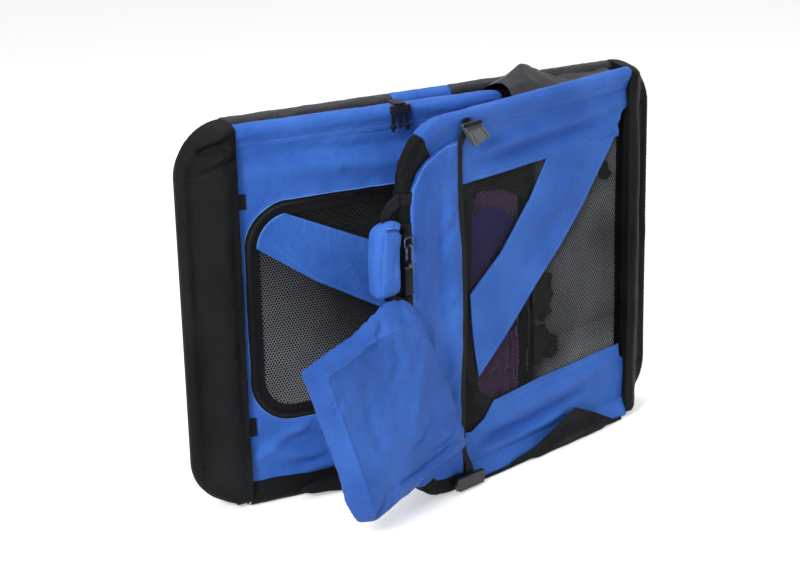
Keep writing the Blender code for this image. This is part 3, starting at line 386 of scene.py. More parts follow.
# A darker copy of the blue cloth for the bag: painted shade.
SHADED_BAG_BLUE = Cloth("bag_blue_cloth_painted_shade", "blue_fabric", tint(48, 94, 178), tint(64, 114, 200), tint(32, 72, 148),
                 crumple=0.0030)
# A pale blue-violet sheet laid on the plum mat: a painted highlight.
MAT_HIGHLIGHT = Cloth("mat_highlight_cloth", "blue_fabric", tint(62, 56, 128), tint(72, 72, 162), tint(58, 36, 88),
               0.7, shine=0.1)
# Net yarn: its pale colour is a painted highlight for lit threads, and its dark colour, mixed in by each point's fade
# share, is painted shade.
YARN = Cloth("net_yarn", "mesh_cloth", tint(166, 169, 174), tint(188, 191, 196), tint(17, 17, 18),
             roughness=0.5, crumple=0.0002, painted_shade=True)
THREAD = Cloth("blue_thread", "blue_fabric", tint(112, 160, 238), tint(132, 178, 246), tint(84, 132, 214),
               thread=0.0005, crumple=0.0001)
DARK_THREAD = Cloth("black_thread", "black_fabric", tint(50, 51, 53), tint(66, 67, 69), tint(34, 34, 35),
                    thread=0.0005, crumple=0.0001)
TAPE = Webbing("black_tape", "black_webbing", tint(12, 12, 13), tint(32, 33, 35))
PLASTIC = Moulded("black_moulding", "black_plastic", tint(17, 17, 18), tint(46, 48, 50))
GREY_PLASTIC = Moulded("worn_grey_moulding", "black_plastic", tint(78, 83, 86), tint(120, 126, 128), 0.36)
STEEL = Metal("steel_tube", "steel", tint(176, 178, 180), tint(128, 128, 128))
COATED = Metal("coated_steel", "steel", tint(44, 45, 47), tint(30, 31, 33), 0.42)
ZINC = Metal("cast_zinc", "dark_zinc", tint(88, 95, 112), tint(46, 48, 54), 0.34)
PLUM = Fleece("plum_pile", "plum_fleece", tint(58, 22, 66), tint(104, 56, 122))


# Where things are


@dataclass(frozen=True)
class Plane:
    """An upright plane of a body: u runs along it, w stands out of it and z goes up."""

    body: str
    origin: Spot
    along: Spot
    out: Spot

    def place(self, flat: np.ndarray, out: np.ndarray | float) -> np.ndarray:
        """The points for flat places, u and z a row, that stand out by a distance."""
        x, y = (self.origin[k] + flat[:, 0] * self.along[k] + out * self.out[k] for k in (0, 1))
        return np.stack((x, y, flat[:, 1]), axis=1)

    def point(self, u: float, w: float, z: float) -> Vector:
        """One point."""
        return Vector((*(self.origin[k] + u * self.along[k] + w * self.out[k] for k in (0, 1)), z))

    def outward(self) -> Vector:
        """The direction that the plane faces."""
        return self.point(0, 1, 0) - self.point(0, 0, 0)

    def flat(self, points: np.ndarray) -> np.ndarray:
        """The u, w and z of points, one a row.

        Args:
            points: The points, one a row.

        Returns:
            For each point, how far it is along, out of and above the plane's origin.
        """
        x, y = points[:, 0] - self.origin[0], points[:, 1] - self.origin[1]
        across, ahead = (x * axis[0] + y * axis[1] for axis in (self.along, self.out))
        return np.stack((across, ahead, points[:, 2]), axis=1)


BACK = Plane("base", (0.0, 0.0), (1.0, 0.0), (0.0, -1.0))
LEFT = Plane("left_hoop", (-0.385, -0.030), (0.99756, -0.069756), (-0.069756, -0.99756))
RIGHT = Plane("right_hoop", (0.385, -0.050), (-0.96902, -0.24700), (0.24700, -0.96902))
GRIP = replace(RIGHT, body="handle")
POUCH = replace(RIGHT, body="bag")
CLASP = replace(RIGHT, body="female_buckle")
UP = Vector((0, 0, 1))
TUBE = 0.013
RAIL_TOP = 0.650


@dataclass(frozen=True)
class TubePath:
    """The centre line of a hoop, from its lower hinge round its far bar to its upper hinge."""

    reach: float = 0.552
    low: float = TUBE
    high: float = 0.637
    corner: float = 0.090

    def stops(self) -> tuple[float, float, float, float, float]:
        """How far along the line the lower bend, far bar, upper bend, upper post and end begin.

        Returns:
            The lengths at which the stretches meet, and the whole length.
        """
        post, bend = self.reach - self.corner, math.pi / 2 * self.corner
        bar = self.high - self.low - 2 * self.corner
        return post, post + bend, post + bend + bar, post + 2 * bend + bar, 2 * post + 2 * bend + bar

    def at(self, travel: np.ndarray) -> tuple[np.ndarray, np.ndarray]:
        """Where the line is.

        Args:
            travel: Distances along it.

        Returns:
            The flat places, and at each the direction that points into the hoop.
        """
        post, bar_from, bar_to, top_from, _ = self.stops()
        places, inward = [], []
        for s in travel:
            if s < post:
                place, facing = (s, self.low), (0.0, 1.0)
            elif s < bar_from:
                turn = (s - post) / self.corner
                facing = (-math.sin(turn), math.cos(turn))
                place = (post + self.corner * math.sin(turn), self.low + self.corner * (1 - math.cos(turn)))
            elif s < bar_to:
                place, facing = (self.reach, self.low + self.corner + s - bar_from), (-1.0, 0.0)
            elif s < top_from:
                turn = (s - bar_to) / self.corner
                facing = (-math.cos(turn), -math.sin(turn))
                place = (post + self.corner * math.cos(turn), self.high - self.corner * (1 - math.sin(turn)))
            else:
                place, facing = (post - (s - top_from), self.high), (0.0, -1.0)
            places.append(place)
            inward.append(facing)
        return np.array(places), np.array(inward)


@dataclass(frozen=True)
class RailPath:
    """A straight tube along the base's top or foot, which climbs a little to its left end."""

    height: float
    inward: float
    rise: float = 0.0

    def stops(self) -> tuple[float, float, float, float, float]:
        """It has no bends, so they lie beyond its end."""
        return 9.0, 9.0, 9.0, 9.0, 9.0

    def at(self, travel: np.ndarray) -> tuple[np.ndarray, np.ndarray]:
        """Where the line is, and the direction that points into the base."""
        near = np.clip((0.05 - travel) / 0.42, 0, 1)
        return np.stack((travel, self.height + self.rise * near), axis=1), np.tile((0.0, self.inward), (len(travel), 1))


HOOP = TubePath()


# Mesh making


def smooth(share: np.ndarray) -> np.ndarray:
    """Ease a share of 0 to 1 in and out."""
    return share * share * (3 - 2 * share)


def swell(share: np.ndarray) -> np.ndarray:
    """A round shoulder: 0 at 0, 1 from 1 on."""
    return np.sqrt(1 - (1 - np.clip(share, 0, 1)) ** 2)


def hang_up(name: str, data: bpy.types.ID) -> Piece:
    """Put a new object into the scene.

    Args:
        name: The object's name.
        data: Its mesh, lamp or camera.

    Returns:
        The object.
    """
    made = bpy.data.objects.new(name, data)
    bpy.context.scene.collection.objects.link(made)
    return made


def make_piece(name: str, points: np.ndarray, faces: Sequence[Sequence[int]], finish: Finish,
               marks: np.ndarray) -> Piece:
    """Make an object whose faces look outwards.

    Args:
        name: The piece's name.
        points: Its points, one a row.
        faces: The point numbers of each face.
        finish: Its finish.
        marks: The cloth coordinates of each point.

    Returns:
        The object.
    """
    mesh = bpy.data.meshes.new(name)
    mesh.from_pydata([tuple(p) for p in points], [], [tuple(f) for f in faces])
    index = np.zeros(len(mesh.loops), dtype=np.int32)
    mesh.loops.foreach_get("vertex_index", index)
    mesh.uv_layers.new(name="cloth").data.foreach_set("uv", marks[index].astype(np.float32).ravel())
    bm = bmesh.new()
    bm.from_mesh(mesh)
    bmesh.ops.recalc_face_normals(bm, faces=bm.faces)
    bm.to_mesh(mesh)
    bm.free()
    mesh.shade_smooth()
    mesh.set_sharp_from_angle(angle=math.radians(50))
    mesh.materials.append(finish.material())
    return hang_up(name, mesh)


def dress(piece: Piece, body: str, finish: Finish, *nodes: str) -> Piece:
    """Fix a piece to its body and let it stand for its CAD nodes.

    Args:
        piece: The piece.
        body: The body that it rides on.
        finish: Not used.
        nodes: The CAD nodes that it stands for.

    Returns:
        The piece.
    """
    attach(piece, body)
    if nodes:
        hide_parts(*nodes)
    log.info("%s on %s", piece.name, body)
    return piece


def join_ends(piece: Piece, body: str, axis: Sequence[Sequence[float]], weight: np.ndarray, *nodes: str) -> None:
    """Bake a black cloth between the base and a hoop into place, and hide the CAD nodes that it stands for.

    Args:
        piece: The cloth.
        body: The hoop.
        axis: Not used.
        weight: Not used.
        nodes: The CAD nodes that it stands for.
    """
    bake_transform(piece)
    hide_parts(*nodes)
    log.info("%s between base and %s", piece.name, body)


def repaint(finish: Finish, *nodes: str) -> None:
    """Give CAD nodes that stay a better material."""
    for slot in (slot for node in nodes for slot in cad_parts[node].material_slots):
        slot.material = finish.material()


def cut_size(piece: Piece, held: str, *rests: str) -> None:
    """Read a cloth slab's cloth coordinates, which are not used further.

    Args:
        piece: The slab, with its cloth coordinates.
        held: Not used.
        rests: Not used.
    """
    marks = np.zeros(len(piece.data.loops) * 2, dtype=np.float32)
    piece.data.uv_layers["cloth"].data.foreach_get("uv", marks)


def from_line(flat: np.ndarray, line: np.ndarray, closed: bool) -> tuple[np.ndarray, np.ndarray]:
    """How far places are from a line.

    Args:
        flat: The places.
        line: The line's corners.
        closed: Whether it ends where it starts.

    Returns:
        The distances, and the share of the line's length where each nearest point lies.
    """
    ends, starts = (np.roll(line, -1, axis=0), line) if closed else (line[1:], line[:-1])
    lengths = np.linalg.norm(ends - starts, axis=1)
    before = np.concatenate(([0.0], np.cumsum(lengths)))
    nearest = np.full(len(flat), 1e9)
    share = np.zeros(len(flat))
    for k, start in enumerate(starts):
        step = ends[k] - start
        t = np.clip(((flat - start) @ step) / max(step @ step, 1e-12), 0, 1)
        gap = np.linalg.norm(flat - (start + t[:, None] * step), axis=1)
        closer = gap < nearest
        nearest[closer] = gap[closer]
        share[closer] = (before[k] + t[closer] * lengths[k]) / before[-1]
    return nearest, share


def rim_gap(flat: np.ndarray, rim: Sequence[Spot], closed: bool = True) -> np.ndarray:
    """How far places are from a rim."""
    return from_line(flat, np.array(rim), closed)[0]


@dataclass(frozen=True)
class Fold:
    """A crease or swell that runs along a line and fades out at its ends."""

    line: tuple[Spot, ...]
    half: float
    height: float

    def lift(self, flat: np.ndarray) -> np.ndarray:
        """How far the fold lifts each place.

        Args:
            flat: The places, their u and z in a row.

        Returns:
            The lift of each place.
        """
        gap, share = from_line(flat, np.array(self.line), False)
        fade = np.clip(6.0 * share * (1.0 - share), 0, 1)
        return self.height * np.exp(-((gap / self.half) ** 2)) * fade


def fold(half: float, height: float, *line: float) -> Fold:
    """A fold by its half width, its height and its line's u and z by turns, in millimetres."""
    return Fold(tuple(spots(*line)), round(half / 1000, 6), round(height / 1000, 6))


@dataclass(frozen=True)
class Ripple:
    """Irregular waves: how many a metre along u and z, how high, and which of the many it is."""

    per_u: float
    per_z: float
    height: float
    seed: float = 0.0

    def lift(self, flat: np.ndarray) -> np.ndarray:
        """How far the waves lift each place."""
        return self.height * np.array([
            noise.noise(Vector((u * self.per_u, z * self.per_z, self.seed))) for u, z in flat])


Folds = tuple[Fold | Ripple, ...]


@dataclass(frozen=True)
class Relief:
    """Everything that lifts a cloth off its plane."""

    parts: Folds = ()
    level: float = 0.0

    def lift(self, flat: np.ndarray) -> np.ndarray:
        """How far the cloth stands out at each place."""
        return sum((part.lift(flat) for part in self.parts), np.full(len(flat), self.level))


def inside(flat: np.ndarray, outline: Sequence[Spot]) -> np.ndarray:
    """Which places a closed outline holds.

    Args:
        flat: The places, their u and z in a row.
        outline: The outline's corners.

    Returns:
        Whether the outline holds each place.
    """
    found = np.zeros(len(flat), dtype=bool)
    x, y = flat[:, 0], flat[:, 1]
    for (ax, ay), (bx, by) in zip(outline, np.roll(outline, -1, axis=0)):
        with np.errstate(divide="ignore", invalid="ignore"):
            at = (bx - ax) * (y - ay) / (by - ay) + ax
        found ^= ((ay > y) != (by > y)) & (x < at)
    return found


def walk(line: Sequence[Sequence[float]], spacing: float, closed: bool = True) -> np.ndarray:
    """Put points at even steps along a line, its corners kept.

    Args:
        line: The line's corners.
        spacing: The step.
        closed: Whether it ends where it starts.

    Returns:
        The points.
    """
    corners = [np.array(c, float) for c in line]
    points = []
    for a, b in zip(corners, corners[1:] + corners[:1] if closed else corners[1:]):
        count = max(1, round(float(np.linalg.norm(b - a)) / spacing))
        points += [a + (b - a) * k / count for k in range(count)]
    return np.array(points if closed else points + corners[-1:])


def arc(centre: Spot, radius: float, start: float, stop: float, steps: int = 14) -> list[Spot]:
    """Points on a circle's arc, from one angle in degrees to another."""
    turns = [math.radians(start + (stop - start) * k / steps) for k in range(steps + 1)]
    return [(centre[0] + radius * math.cos(t), centre[1] + radius * math.sin(t)) for t in turns]


def rounded(near: float, far: float, low: float, top: float, radius: float) -> list[Spot]:
    """A rectangle with round corners, counter-clockwise, from its least and most u and z."""
    corners = ((far - radius, low + radius), (far - radius, top - radius), (near + radius, top - radius),
               (near + radius, low + radius))
    return [spot for k, corner in enumerate(corners) for spot in arc(corner, radius, 90 * k - 90, 90 * k)]


def cut_cloth(outline: Sequence[Spot], holes: Sequence[Sequence[Spot]],
              spacing: float) -> tuple[np.ndarray, np.ndarray]:
    """Fill an outline with even triangles.

    Args:
        outline: The cloth's edge.
        holes: The edges of its holes.
        spacing: The triangles' side.

    Returns:
        The points, and the point numbers of each triangle.
    """
    loops = [walk(edge, spacing) for edge in (outline, *holes)]
    low, high = loops[0].min(axis=0), loops[0].max(axis=0)
    row = spacing * math.sqrt(3) / 2
    grid = np.array([(low[0] + i * spacing + (spacing / 2 if j % 2 else 0.0), low[1] + j * row)
                     for j in range(int((high[1] - low[1]) / row) + 2)
                     for i in range(int((high[0] - low[0]) / spacing) + 2)])

    def held(places: np.ndarray) -> np.ndarray:
        """Which places the cloth covers."""
        return inside(places, loops[0]) & ~np.any([inside(places, hole) for hole in loops[1:]], axis=0)

    keep = held(grid) & np.all([rim_gap(grid, loop) > spacing * 0.55 for loop in loops], axis=0)
    points = np.concatenate(loops + [grid[keep]])
    edges, first = [], 0
    for loop in loops:
        edges += [(first + k, first + (k + 1) % len(loop)) for k in range(len(loop))]
        first += len(loop)
    made = delaunay_2d_cdt([Vector(p) for p in points], edges, [], 0, 1e-7)
    places = np.array([tuple(p) for p in made[0]])
    faces = np.array([f for f in made[2] if len(f) == 3])
    return places, faces[held(places[faces].mean(axis=1))]


@dataclass
class Patch:
    """A flat-cut piece of cloth on one of the crate's planes."""

    name: str
    plane: Plane
    outline: Sequence[Spot]
    finish: Finish
    relief: Relief = field(default_factory=Relief)
    holes: Sequence[Sequence[Spot]] = ()
    thick: float = 0.0014
    spacing: float = 0.0046
    front: Callable[[np.ndarray], np.ndarray] | None = None
    back: Callable[[np.ndarray], np.ndarray] | None = None

    def build(self) -> Piece:
        """Make the closed slab.

        Returns:
            The piece, not yet dressed.
        """
        flat, faces = cut_cloth(self.outline, self.holes, self.spacing)
        front = self.relief.lift(flat)
        if self.front is not None:
            front = self.front(flat) + front
        back = front - self.thick if self.back is None else self.back(flat)
        count = len(flat)
        points = np.concatenate((self.plane.place(flat, front), self.plane.place(flat, back)))
        sides: dict[tuple[int, int], tuple[int, int]] = {}
        for face in faces.tolist():
            for a, b in zip(face, face[1:] + face[:1]):
                key = (min(a, b), max(a, b))
                if sides.pop(key, None) is None:
                    sides[key] = (a, b)
        everything = [*faces, *(faces[:, ::-1] + count), *((a, a + count, b + count, b) for a, b in sides.values())]
        return make_piece(self.name, points, everything, self.finish, np.concatenate((flat, flat)))

    def lay(self, *nodes: str, sheet: tuple[str, ...] = (), padded: float = 0.0) -> Piece:
        """Args:
            nodes: The CAD nodes that it stands for.
            sheet: How it is held and what it rests on, if it is a sheet.
            padded: Not used.

        Returns:
            The piece.
        """
        piece = dress(self.build(), self.plane.body, self.finish, *nodes)
        if sheet:
            cut_size(piece, *sheet)
        return piece


def make_tube(name: str, rings: Sequence, finish: Finish, marks: list[Spot]) -> Piece:
    """Join rings of points into a closed tube with capped ends.

    Args:
        name: The piece's name.
        rings: The rings, each with the same number of points.
        finish: Its finish.
        marks: The cloth coordinates of each point.

    Returns:
        The piece.
    """
    rings = np.array(rings)
    count, around = rings.shape[:2]
    faces = [(i * around + j, i * around + k, (i + 1) * around + k, (i + 1) * around + j)
             for i in range(count - 1) for j, k in zip(range(around), (*range(1, around), 0))]
    faces += [tuple(range(around))[::-1], tuple(range((count - 1) * around, count * around))]
    return make_piece(name, rings.reshape(-1, 3), faces, finish, np.array(marks))


@dataclass
class Sleeve:
    """Cloth folded over a tube and sewn to itself along the tube's inner side."""

    name: str
    plane: Plane
    start: float
    stop: float
    finish: Finish
    path: TubePath | RailPath = HOOP
    radius: float = 0.0129
    depth: float = 0.027
    tip: float = 0.0026
    slack: float = 0.0015
    seed: float = 0.0

    def outline(self) -> np.ndarray:
        """The cross-section: inward and outward places round the tube and along the sewn edge.

        Returns:
            The section's places, one a row.
        """
        r, wrap = self.radius, math.radians(112)
        places = [(-r * math.cos(a), r * math.sin(a)) for a in np.radians(np.linspace(0, 112, 13))]
        start = np.array(places[-1])
        lean = np.array((math.sin(wrap), math.cos(wrap))) * r * 0.6
        end = np.array((self.depth, self.tip))
        pull = end + np.array((-0.4 * self.depth, 0.0012))
        for t in np.linspace(0, 1, 8)[1:]:
            places.append(tuple(start * (1 - t) ** 3 + 3 * (start + lean) * t * (1 - t) ** 2
                                + 3 * pull * t * t * (1 - t) + end * t ** 3))
        half = np.array(places)
        return np.concatenate((half, [(self.depth + 0.0008, 0.0)], half[::-1][:-1] * (1.0, -1.0)))

    def build(self, *nodes: str) -> Piece:
        """Make and dress the sleeve, whose cloth never sinks into the tube.

        Args:
            nodes: The CAD nodes that it stands for.

        Returns:
            The piece.
        """
        travel = np.linspace(self.start, self.stop, max(3, int(abs(self.stop - self.start) / 0.004)))
        centre, inward = self.path.at(travel)
        shape = self.outline()
        outward = shape - shape.mean(axis=0)
        outward /= np.linalg.norm(outward, axis=1)[:, None]
        post, bar_from, bar_to, top_from, _ = self.path.stops()
        rings, marks = [], []
        for k, s in enumerate(travel):
            bend = 1.0 if post < s < bar_from or bar_to < s < top_from else 0.0
            cuff = {0: -0.0007, 1: 0.0002}.get(min(k, len(travel) - 1 - k), 0.0)
            lifts = np.array([
                self.slack * (0.6 + bend) * (noise.noise(Vector((s * 26, j * 0.30, self.seed)))
                                             + 0.6 * noise.noise(Vector((s * 75, j * 0.45, self.seed + 9))))
                for j in range(len(shape))])
            ring = shape + outward * np.maximum(lifts + cuff, -0.0011)[:, None]
            rings.append(self.plane.place(centre[k] + ring[:, :1] * inward[k], ring[:, 1]))
            marks += [(s, 0.004 * j) for j in range(len(shape))]
        return dress(make_tube(self.name, rings, self.finish, marks), self.plane.body, self.finish, *nodes)


@dataclass
class Ribbon:
    """A flat strip with soft edges that follows a route."""

    name: str
    body: str
    route: Sequence[Vector]
    across: Vector
    width: float
    thick: float
    finish: Finish = TAPE
    ripple: float = 0.0003
    seed: float = 0.0

    def line(self) -> np.ndarray:
        """The route with its corners softened, in even steps.

        Returns:
            The line's points, one a row.
        """
        corners = [np.array(p) for p in self.route]
        soft = [corners[0]]
        for a, b, c in zip(corners, corners[1:], corners[2:]):
            reach = min(0.35, *(0.006 / max(np.linalg.norm(end - b), 1e-6) for end in (a, c)))
            first, last = b + (a - b) * reach, b + (c - b) * reach
            soft += [first * (1 - t) ** 2 + 2 * b * t * (1 - t) + last * t * t for t in (0.0, 0.5, 1.0)]
        return walk(soft + corners[-1:], 0.003, False)

    def build(self, *nodes: str) -> Piece:
        """Make and dress the strip.

        Args:
            nodes: The CAD nodes that it stands for.

        Returns:
            The piece.
        """
        line, across = self.line(), np.array(self.across.normalized())
        half, t = self.width / 2, self.thick / 2
        profile = [(-half, 0.0), (-half + t * 0.6, t), (-half * 0.5, t * 1.05), (0, t * 1.08), (half * 0.5, t * 1.05),
                   (half - t * 0.6, t), (half, 0.0), (half - t * 0.6, -t), (0, -t), (-half + t * 0.6, -t)]
        rings, marks, travel = [], [], 0.0
        for k, p in enumerate(line):
            before = line[max(0, k - 1)]
            along = line[min(len(line) - 1, k + 1)] - before
            along /= max(np.linalg.norm(along), 1e-9)
            side = across - along * (across @ along)
            side /= np.linalg.norm(side)
            up = np.cross(along, side)
            travel += float(np.linalg.norm(p - before))
            wave = self.ripple * noise.noise(Vector((travel * 60, 0.5, self.seed)))
            rings.append([p + side * a + up * (b + wave) for a, b in profile])
            marks += [(travel, a) for a, _ in profile]
        return dress(make_tube(self.name, rings, self.finish, marks), self.body, self.finish, *nodes)


# What repeats


class Unit(Enum):
    """A small shape that is set along a line."""

    STITCH = ("GeometryNodeMeshIcoSphere", {"Radius": 0.5, "Subdivisions": 1})
    TOOTH = ("GeometryNodeMeshCube", {"Size": (1.0, 1.0, 1.0)})


class Growth:
    """A Geometry Nodes tree in the making."""

    def __init__(self, name: str, **inputs: str) -> None:
        """Start the tree with its inputs, each a name and a kind.

        Args:
            name: The tree's name.
            inputs: The kind of each further input.
        """
        self.tree = bpy.data.node_groups.new(name, "GeometryNodeTree")
        for key, kind in (inputs | {"Finish": "Material"}).items():
            self.tree.interface.new_socket(key, in_out="INPUT", socket_type=f"NodeSocket{kind}")
        self.tree.interface.new_socket("Shapes", in_out="OUTPUT", socket_type="NodeSocketGeometry")
        self.given = self.tree.nodes.new("NodeGroupInput").outputs

    def add(self, kind: str, sockets: dict, **settings: object) -> NodeSocket:
        """Add a node, of which the first output counts."""
        return add_node(self.tree, kind, sockets, **settings).outputs[0]

    def end(self, shapes: NodeSocket) -> NodeTree:
        """Make the shapes real, give them their finish and end the tree.

        Args:
            shapes: The shapes to make real.

        Returns:
            The finished tree.
        """
        real = self.add("GeometryNodeRealizeInstances", {0: shapes})
        last = self.add("GeometryNodeSetMaterial", {"Geometry": real, "Material": self.given["Finish"]})
        self.tree.links.new(last, self.tree.nodes.new("NodeGroupOutput").inputs[0])
        return self.tree


@lru_cache(maxsize=None)
def row_tree(unit: Unit) -> NodeTree:
    """A tree that sets one small shape at each marked point.

    Args:
        unit: The small shape.

    Returns:
        The tree.
    """
    made = Growth(f"row_of_{unit.name}", Marks="Geometry", Length="Float", Width="Float", Height="Float")
    along, up = (made.add("GeometryNodeInputNamedAttribute", {"Name": name}, data_type="FLOAT_VECTOR")
                 for name in ("along", "up"))
    lying = made.add("FunctionNodeAlignRotationToVector", {"Vector": along}, axis="X")
    return made.end(made.add("GeometryNodeInstanceOnPoints", {
        "Points": made.add("GeometryNodeMeshToPoints", {"Mesh": made.given["Marks"]}),
        "Instance": made.add(*unit.value),
        "Rotation": made.add("FunctionNodeAlignRotationToVector", {"Rotation": lying, "Vector": up},
                             axis="Z", pivot_axis="X"),
        "Scale": made.add("ShaderNodeCombineXYZ", {
            "X": made.given["Length"], "Y": made.given["Width"], "Z": made.given["Height"]})}))


@lru_cache(maxsize=None)
def net_tree() -> NodeTree:
    """A tree that turns a triangulated cloth into open hexagonal net.

    Returns:
        The tree.
    """
    made = Growth("open_net", Cloth="Geometry", Radius="Float")
    cells = made.add("GeometryNodeDualMesh", {"Mesh": made.given["Cloth"]})
    ring = made.add("GeometryNodeCurvePrimitiveCircle", {"Resolution": 3, "Radius": made.given["Radius"]},
                    mode="RADIUS")
    return made.end(made.add("GeometryNodeCurveToMesh", {
        "Curve": made.add("GeometryNodeMeshToCurve", {"Mesh": cells}), "Profile Curve": ring, "Fill Caps": True}))


def evaluated(piece: Piece) -> Mesh:
    """A new mesh of a piece with its modifiers applied."""
    return bpy.data.meshes.new_from_object(piece.evaluated_get(bpy.context.evaluated_depsgraph_get()))


def grow(base: Mesh, tree: NodeTree, name: str, **values: object) -> Piece:
    """Run a Geometry Nodes tree on a mesh and keep the plain result.

    Args:
        base: The mesh that it starts from.
        tree: The tree.
        name: The new piece's name.
        values: The tree's inputs by their names.

    Returns:
        The new piece.
    """
    source = hang_up(f"{name}_source", base)
    modifier = source.modifiers.new("grow", "NODES")
    modifier.node_group = tree
    for item in tree.interface.items_tree:
        if item.in_out == "INPUT" and item.name in values:
            modifier[item.identifier] = values[item.name]
    mesh = evaluated(source)
    mesh.name = name
    bpy.data.objects.remove(source)
    return hang_up(name, mesh)


def weave_net(name: str, plane: Plane, outline: Sequence[Spot], relief: Relief,
              rule: Callable[[np.ndarray, np.ndarray], np.ndarray], node: str) -> None:
    """Stretch an open net over an opening.

    Args:
        name: The net's name.
        plane: Its plane.
        outline: Its edge.
        relief: How it sags.
        rule: The share of painted shade at places u and z.
        node: The CAD node that it stands for.
    """
    flat, faces = cut_cloth(outline, [], 0.0049)
    base = bpy.data.meshes.new(f"{name}_base")
    base.from_pydata([tuple(p) for p in plane.place(flat, relief.lift(flat))], [], faces.tolist())
    net = grow(base, net_tree(), name, Radius=0.00062, Finish=YARN.material())
    where = plane.flat(read_points(net.data))
    # Each point's fade share is painted shade on the yarn.
    marks = net.data.attributes.new("fade", "FLOAT", "POINT")
    marks.data.foreach_set("value", rule(where[:, 0], where[:, 2]).astype(np.float32))
    dress(net, plane.body, YARN, node)


@dataclass
class Row:
    """Marked points, each with the direction it lies in and the one that it faces."""

    spots: list[Vector] = field(default_factory=list)
    along: list[Vector] = field(default_factory=list)
    up: list[Vector] = field(default_factory=list)

    def mark(self, start: Vector, stop: Vector, up: Vector, lift: float = 0.0) -> None:
        """Mark the middle between two points, lifted a little.

        Args:
            start: The first point.
            stop: The second point.
            up: The direction that the mark faces.
            lift: How far the mark is lifted.
        """
        self.spots.append((start + stop) / 2 + up * lift)
        self.along.append((stop - start).normalized())
        self.up.append(up)

    def grow(self, name: str, body: str, unit: Unit, finish: Finish, size: tuple[float, float, float]) -> None:
        """Set a small shape at each mark.

        Args:
            name: The new piece's name.
            body: The body that it rides on.
            unit: The small shape.
            finish: Its finish.
            size: Its length, width and height.
        """
        mesh = bpy.data.meshes.new(name)
        mesh.from_pydata([tuple(s) for s in self.spots], [], [])
        for key, vectors in (("along", self.along), ("up", self.up)):
            attribute = mesh.attributes.new(key, "FLOAT_VECTOR", "POINT")
            attribute.data.foreach_set("vector", np.array([tuple(v) for v in vectors], np.float32).ravel())
        sizes = dict(zip(("Length", "Width", "Height"), size))
        dress(grow(mesh, row_tree(unit), name, **sizes, Finish=finish.material()), body, finish)


class Tailor:
    """Lays rows of stitches on finished pieces, and makes them one piece for each body and thread."""

    def __init__(self) -> None:
        """Start with no stitches."""
        self.rows: dict[tuple[str, Finish], Row] = {}
        self.trees: dict[str, BVHTree] = {}

    def meet(self, piece: Piece, plane: Plane, spot: Spot, side: float = 1.0) -> tuple[Vector, Vector] | None:
        """Find a piece's surface straight below a spot of a plane.

        Args:
            piece: The piece.
            plane: The plane.
            spot: The spot's u and z.
            side: 1 for the side that faces out of the plane, -1 for the other one.

        Returns:
            The place and the direction that the surface faces there, if it is met.
        """
        if piece.name not in self.trees:
            self.trees[piece.name] = BVHTree.FromPolygons(
                [v.co.copy() for v in piece.data.vertices], [tuple(p.vertices) for p in piece.data.polygons])
        outward = plane.outward() * side
        place, normal, _, _ = self.trees[piece.name].ray_cast(plane.point(spot[0], 0.2 * side, spot[1]), -outward)
        return None if place is None else (place, normal if normal.dot(outward) > 0 else -normal)

    def sew(self, piece: Piece, plane: Plane, line: Sequence[Spot], thread: Finish = THREAD,
            pitch: float = 0.0042, side: float = 1.0, closed: bool = False) -> None:
        """Lay stitches on a piece, straight below a line on its plane.

        Args:
            piece: The piece.
            plane: The plane that the line is drawn on.
            line: The line's corners.
            thread: The thread's finish.
            pitch: The distance between stitches.
            side: 1 for the side that faces out of the plane, -1 for the other one.
            closed: Whether the line ends where it starts.
        """
        row = self.rows.setdefault((plane.body, thread), Row())
        hits = [self.meet(piece, plane, spot, side) for spot in walk(line, pitch, closed)]
        for hit, following in zip(hits, hits[1:]):
            if hit and following and (following[0] - hit[0]).length <= pitch * 2.2:
                row.mark(hit[0], following[0], hit[1], 0.00012)

    def pipe(self, piece: Piece, plane: Plane, line: Sequence[Spot], name: str, radius: float = 0.0013) -> None:
        """Lay a rolled pale edge on a piece, straight below a line on its plane; part of its paleness is a painted
        highlight.

        Args:
            piece: The piece.
            plane: The plane that the line is drawn on.
            line: The line's corners.
            name: The new piece's name.
            radius: Half its thickness.
        """
        step, outward = 0.0035, plane.outward()
        found = [hit for hit in (self.meet(piece, plane, spot) for spot in walk(line, step, False)) if hit]
        rings, marks = [], []
        for k, (place, _) in enumerate(found):
            along = (found[min(k + 1, len(found) - 1)][0] - found[max(k - 1, 0)][0]).normalized()
            across = along.cross(outward).normalized()
            size = radius * (0.9 + 0.25 * noise.noise(place * 90)) * (0.35 if k in (0, len(found) - 1) else 1.0)
            rings.append([tuple(place + outward * (0.1 * radius + size * math.sin(t)) + across * size * math.cos(t))
                          for t in (math.pi * j / 4 for j in range(8))])
            marks += [(k * step, j * 0.001) for j in range(8)]
        dress(make_tube(name, rings, PIPING, marks), plane.body, PIPING)

    def finish(self) -> int:
        """Make the stitches, and count them."""
        for (body, thread), row in self.rows.items():
            if row.spots:
                row.grow(f"{body}_{thread.name}_stitches", body, Unit.STITCH, thread, (0.0030, 0.00085, 0.0006))
        return sum(len(row.spots) for row in self.rows.values())


# Soft forms


def read_points(mesh: Mesh) -> np.ndarray:
    """A mesh's points, one a row.

    Args:
        mesh: The mesh.

    Returns:
        The points.
    """
    points = np.zeros(len(mesh.vertices) * 3)
    mesh.vertices.foreach_get("co", points)
    return points.reshape(-1, 3)


def move_points(piece: Piece, points: np.ndarray) -> None:
    """Put a piece's points at new places."""
    piece.data.vertices.foreach_set("co", points.ravel())
    piece.data.update()


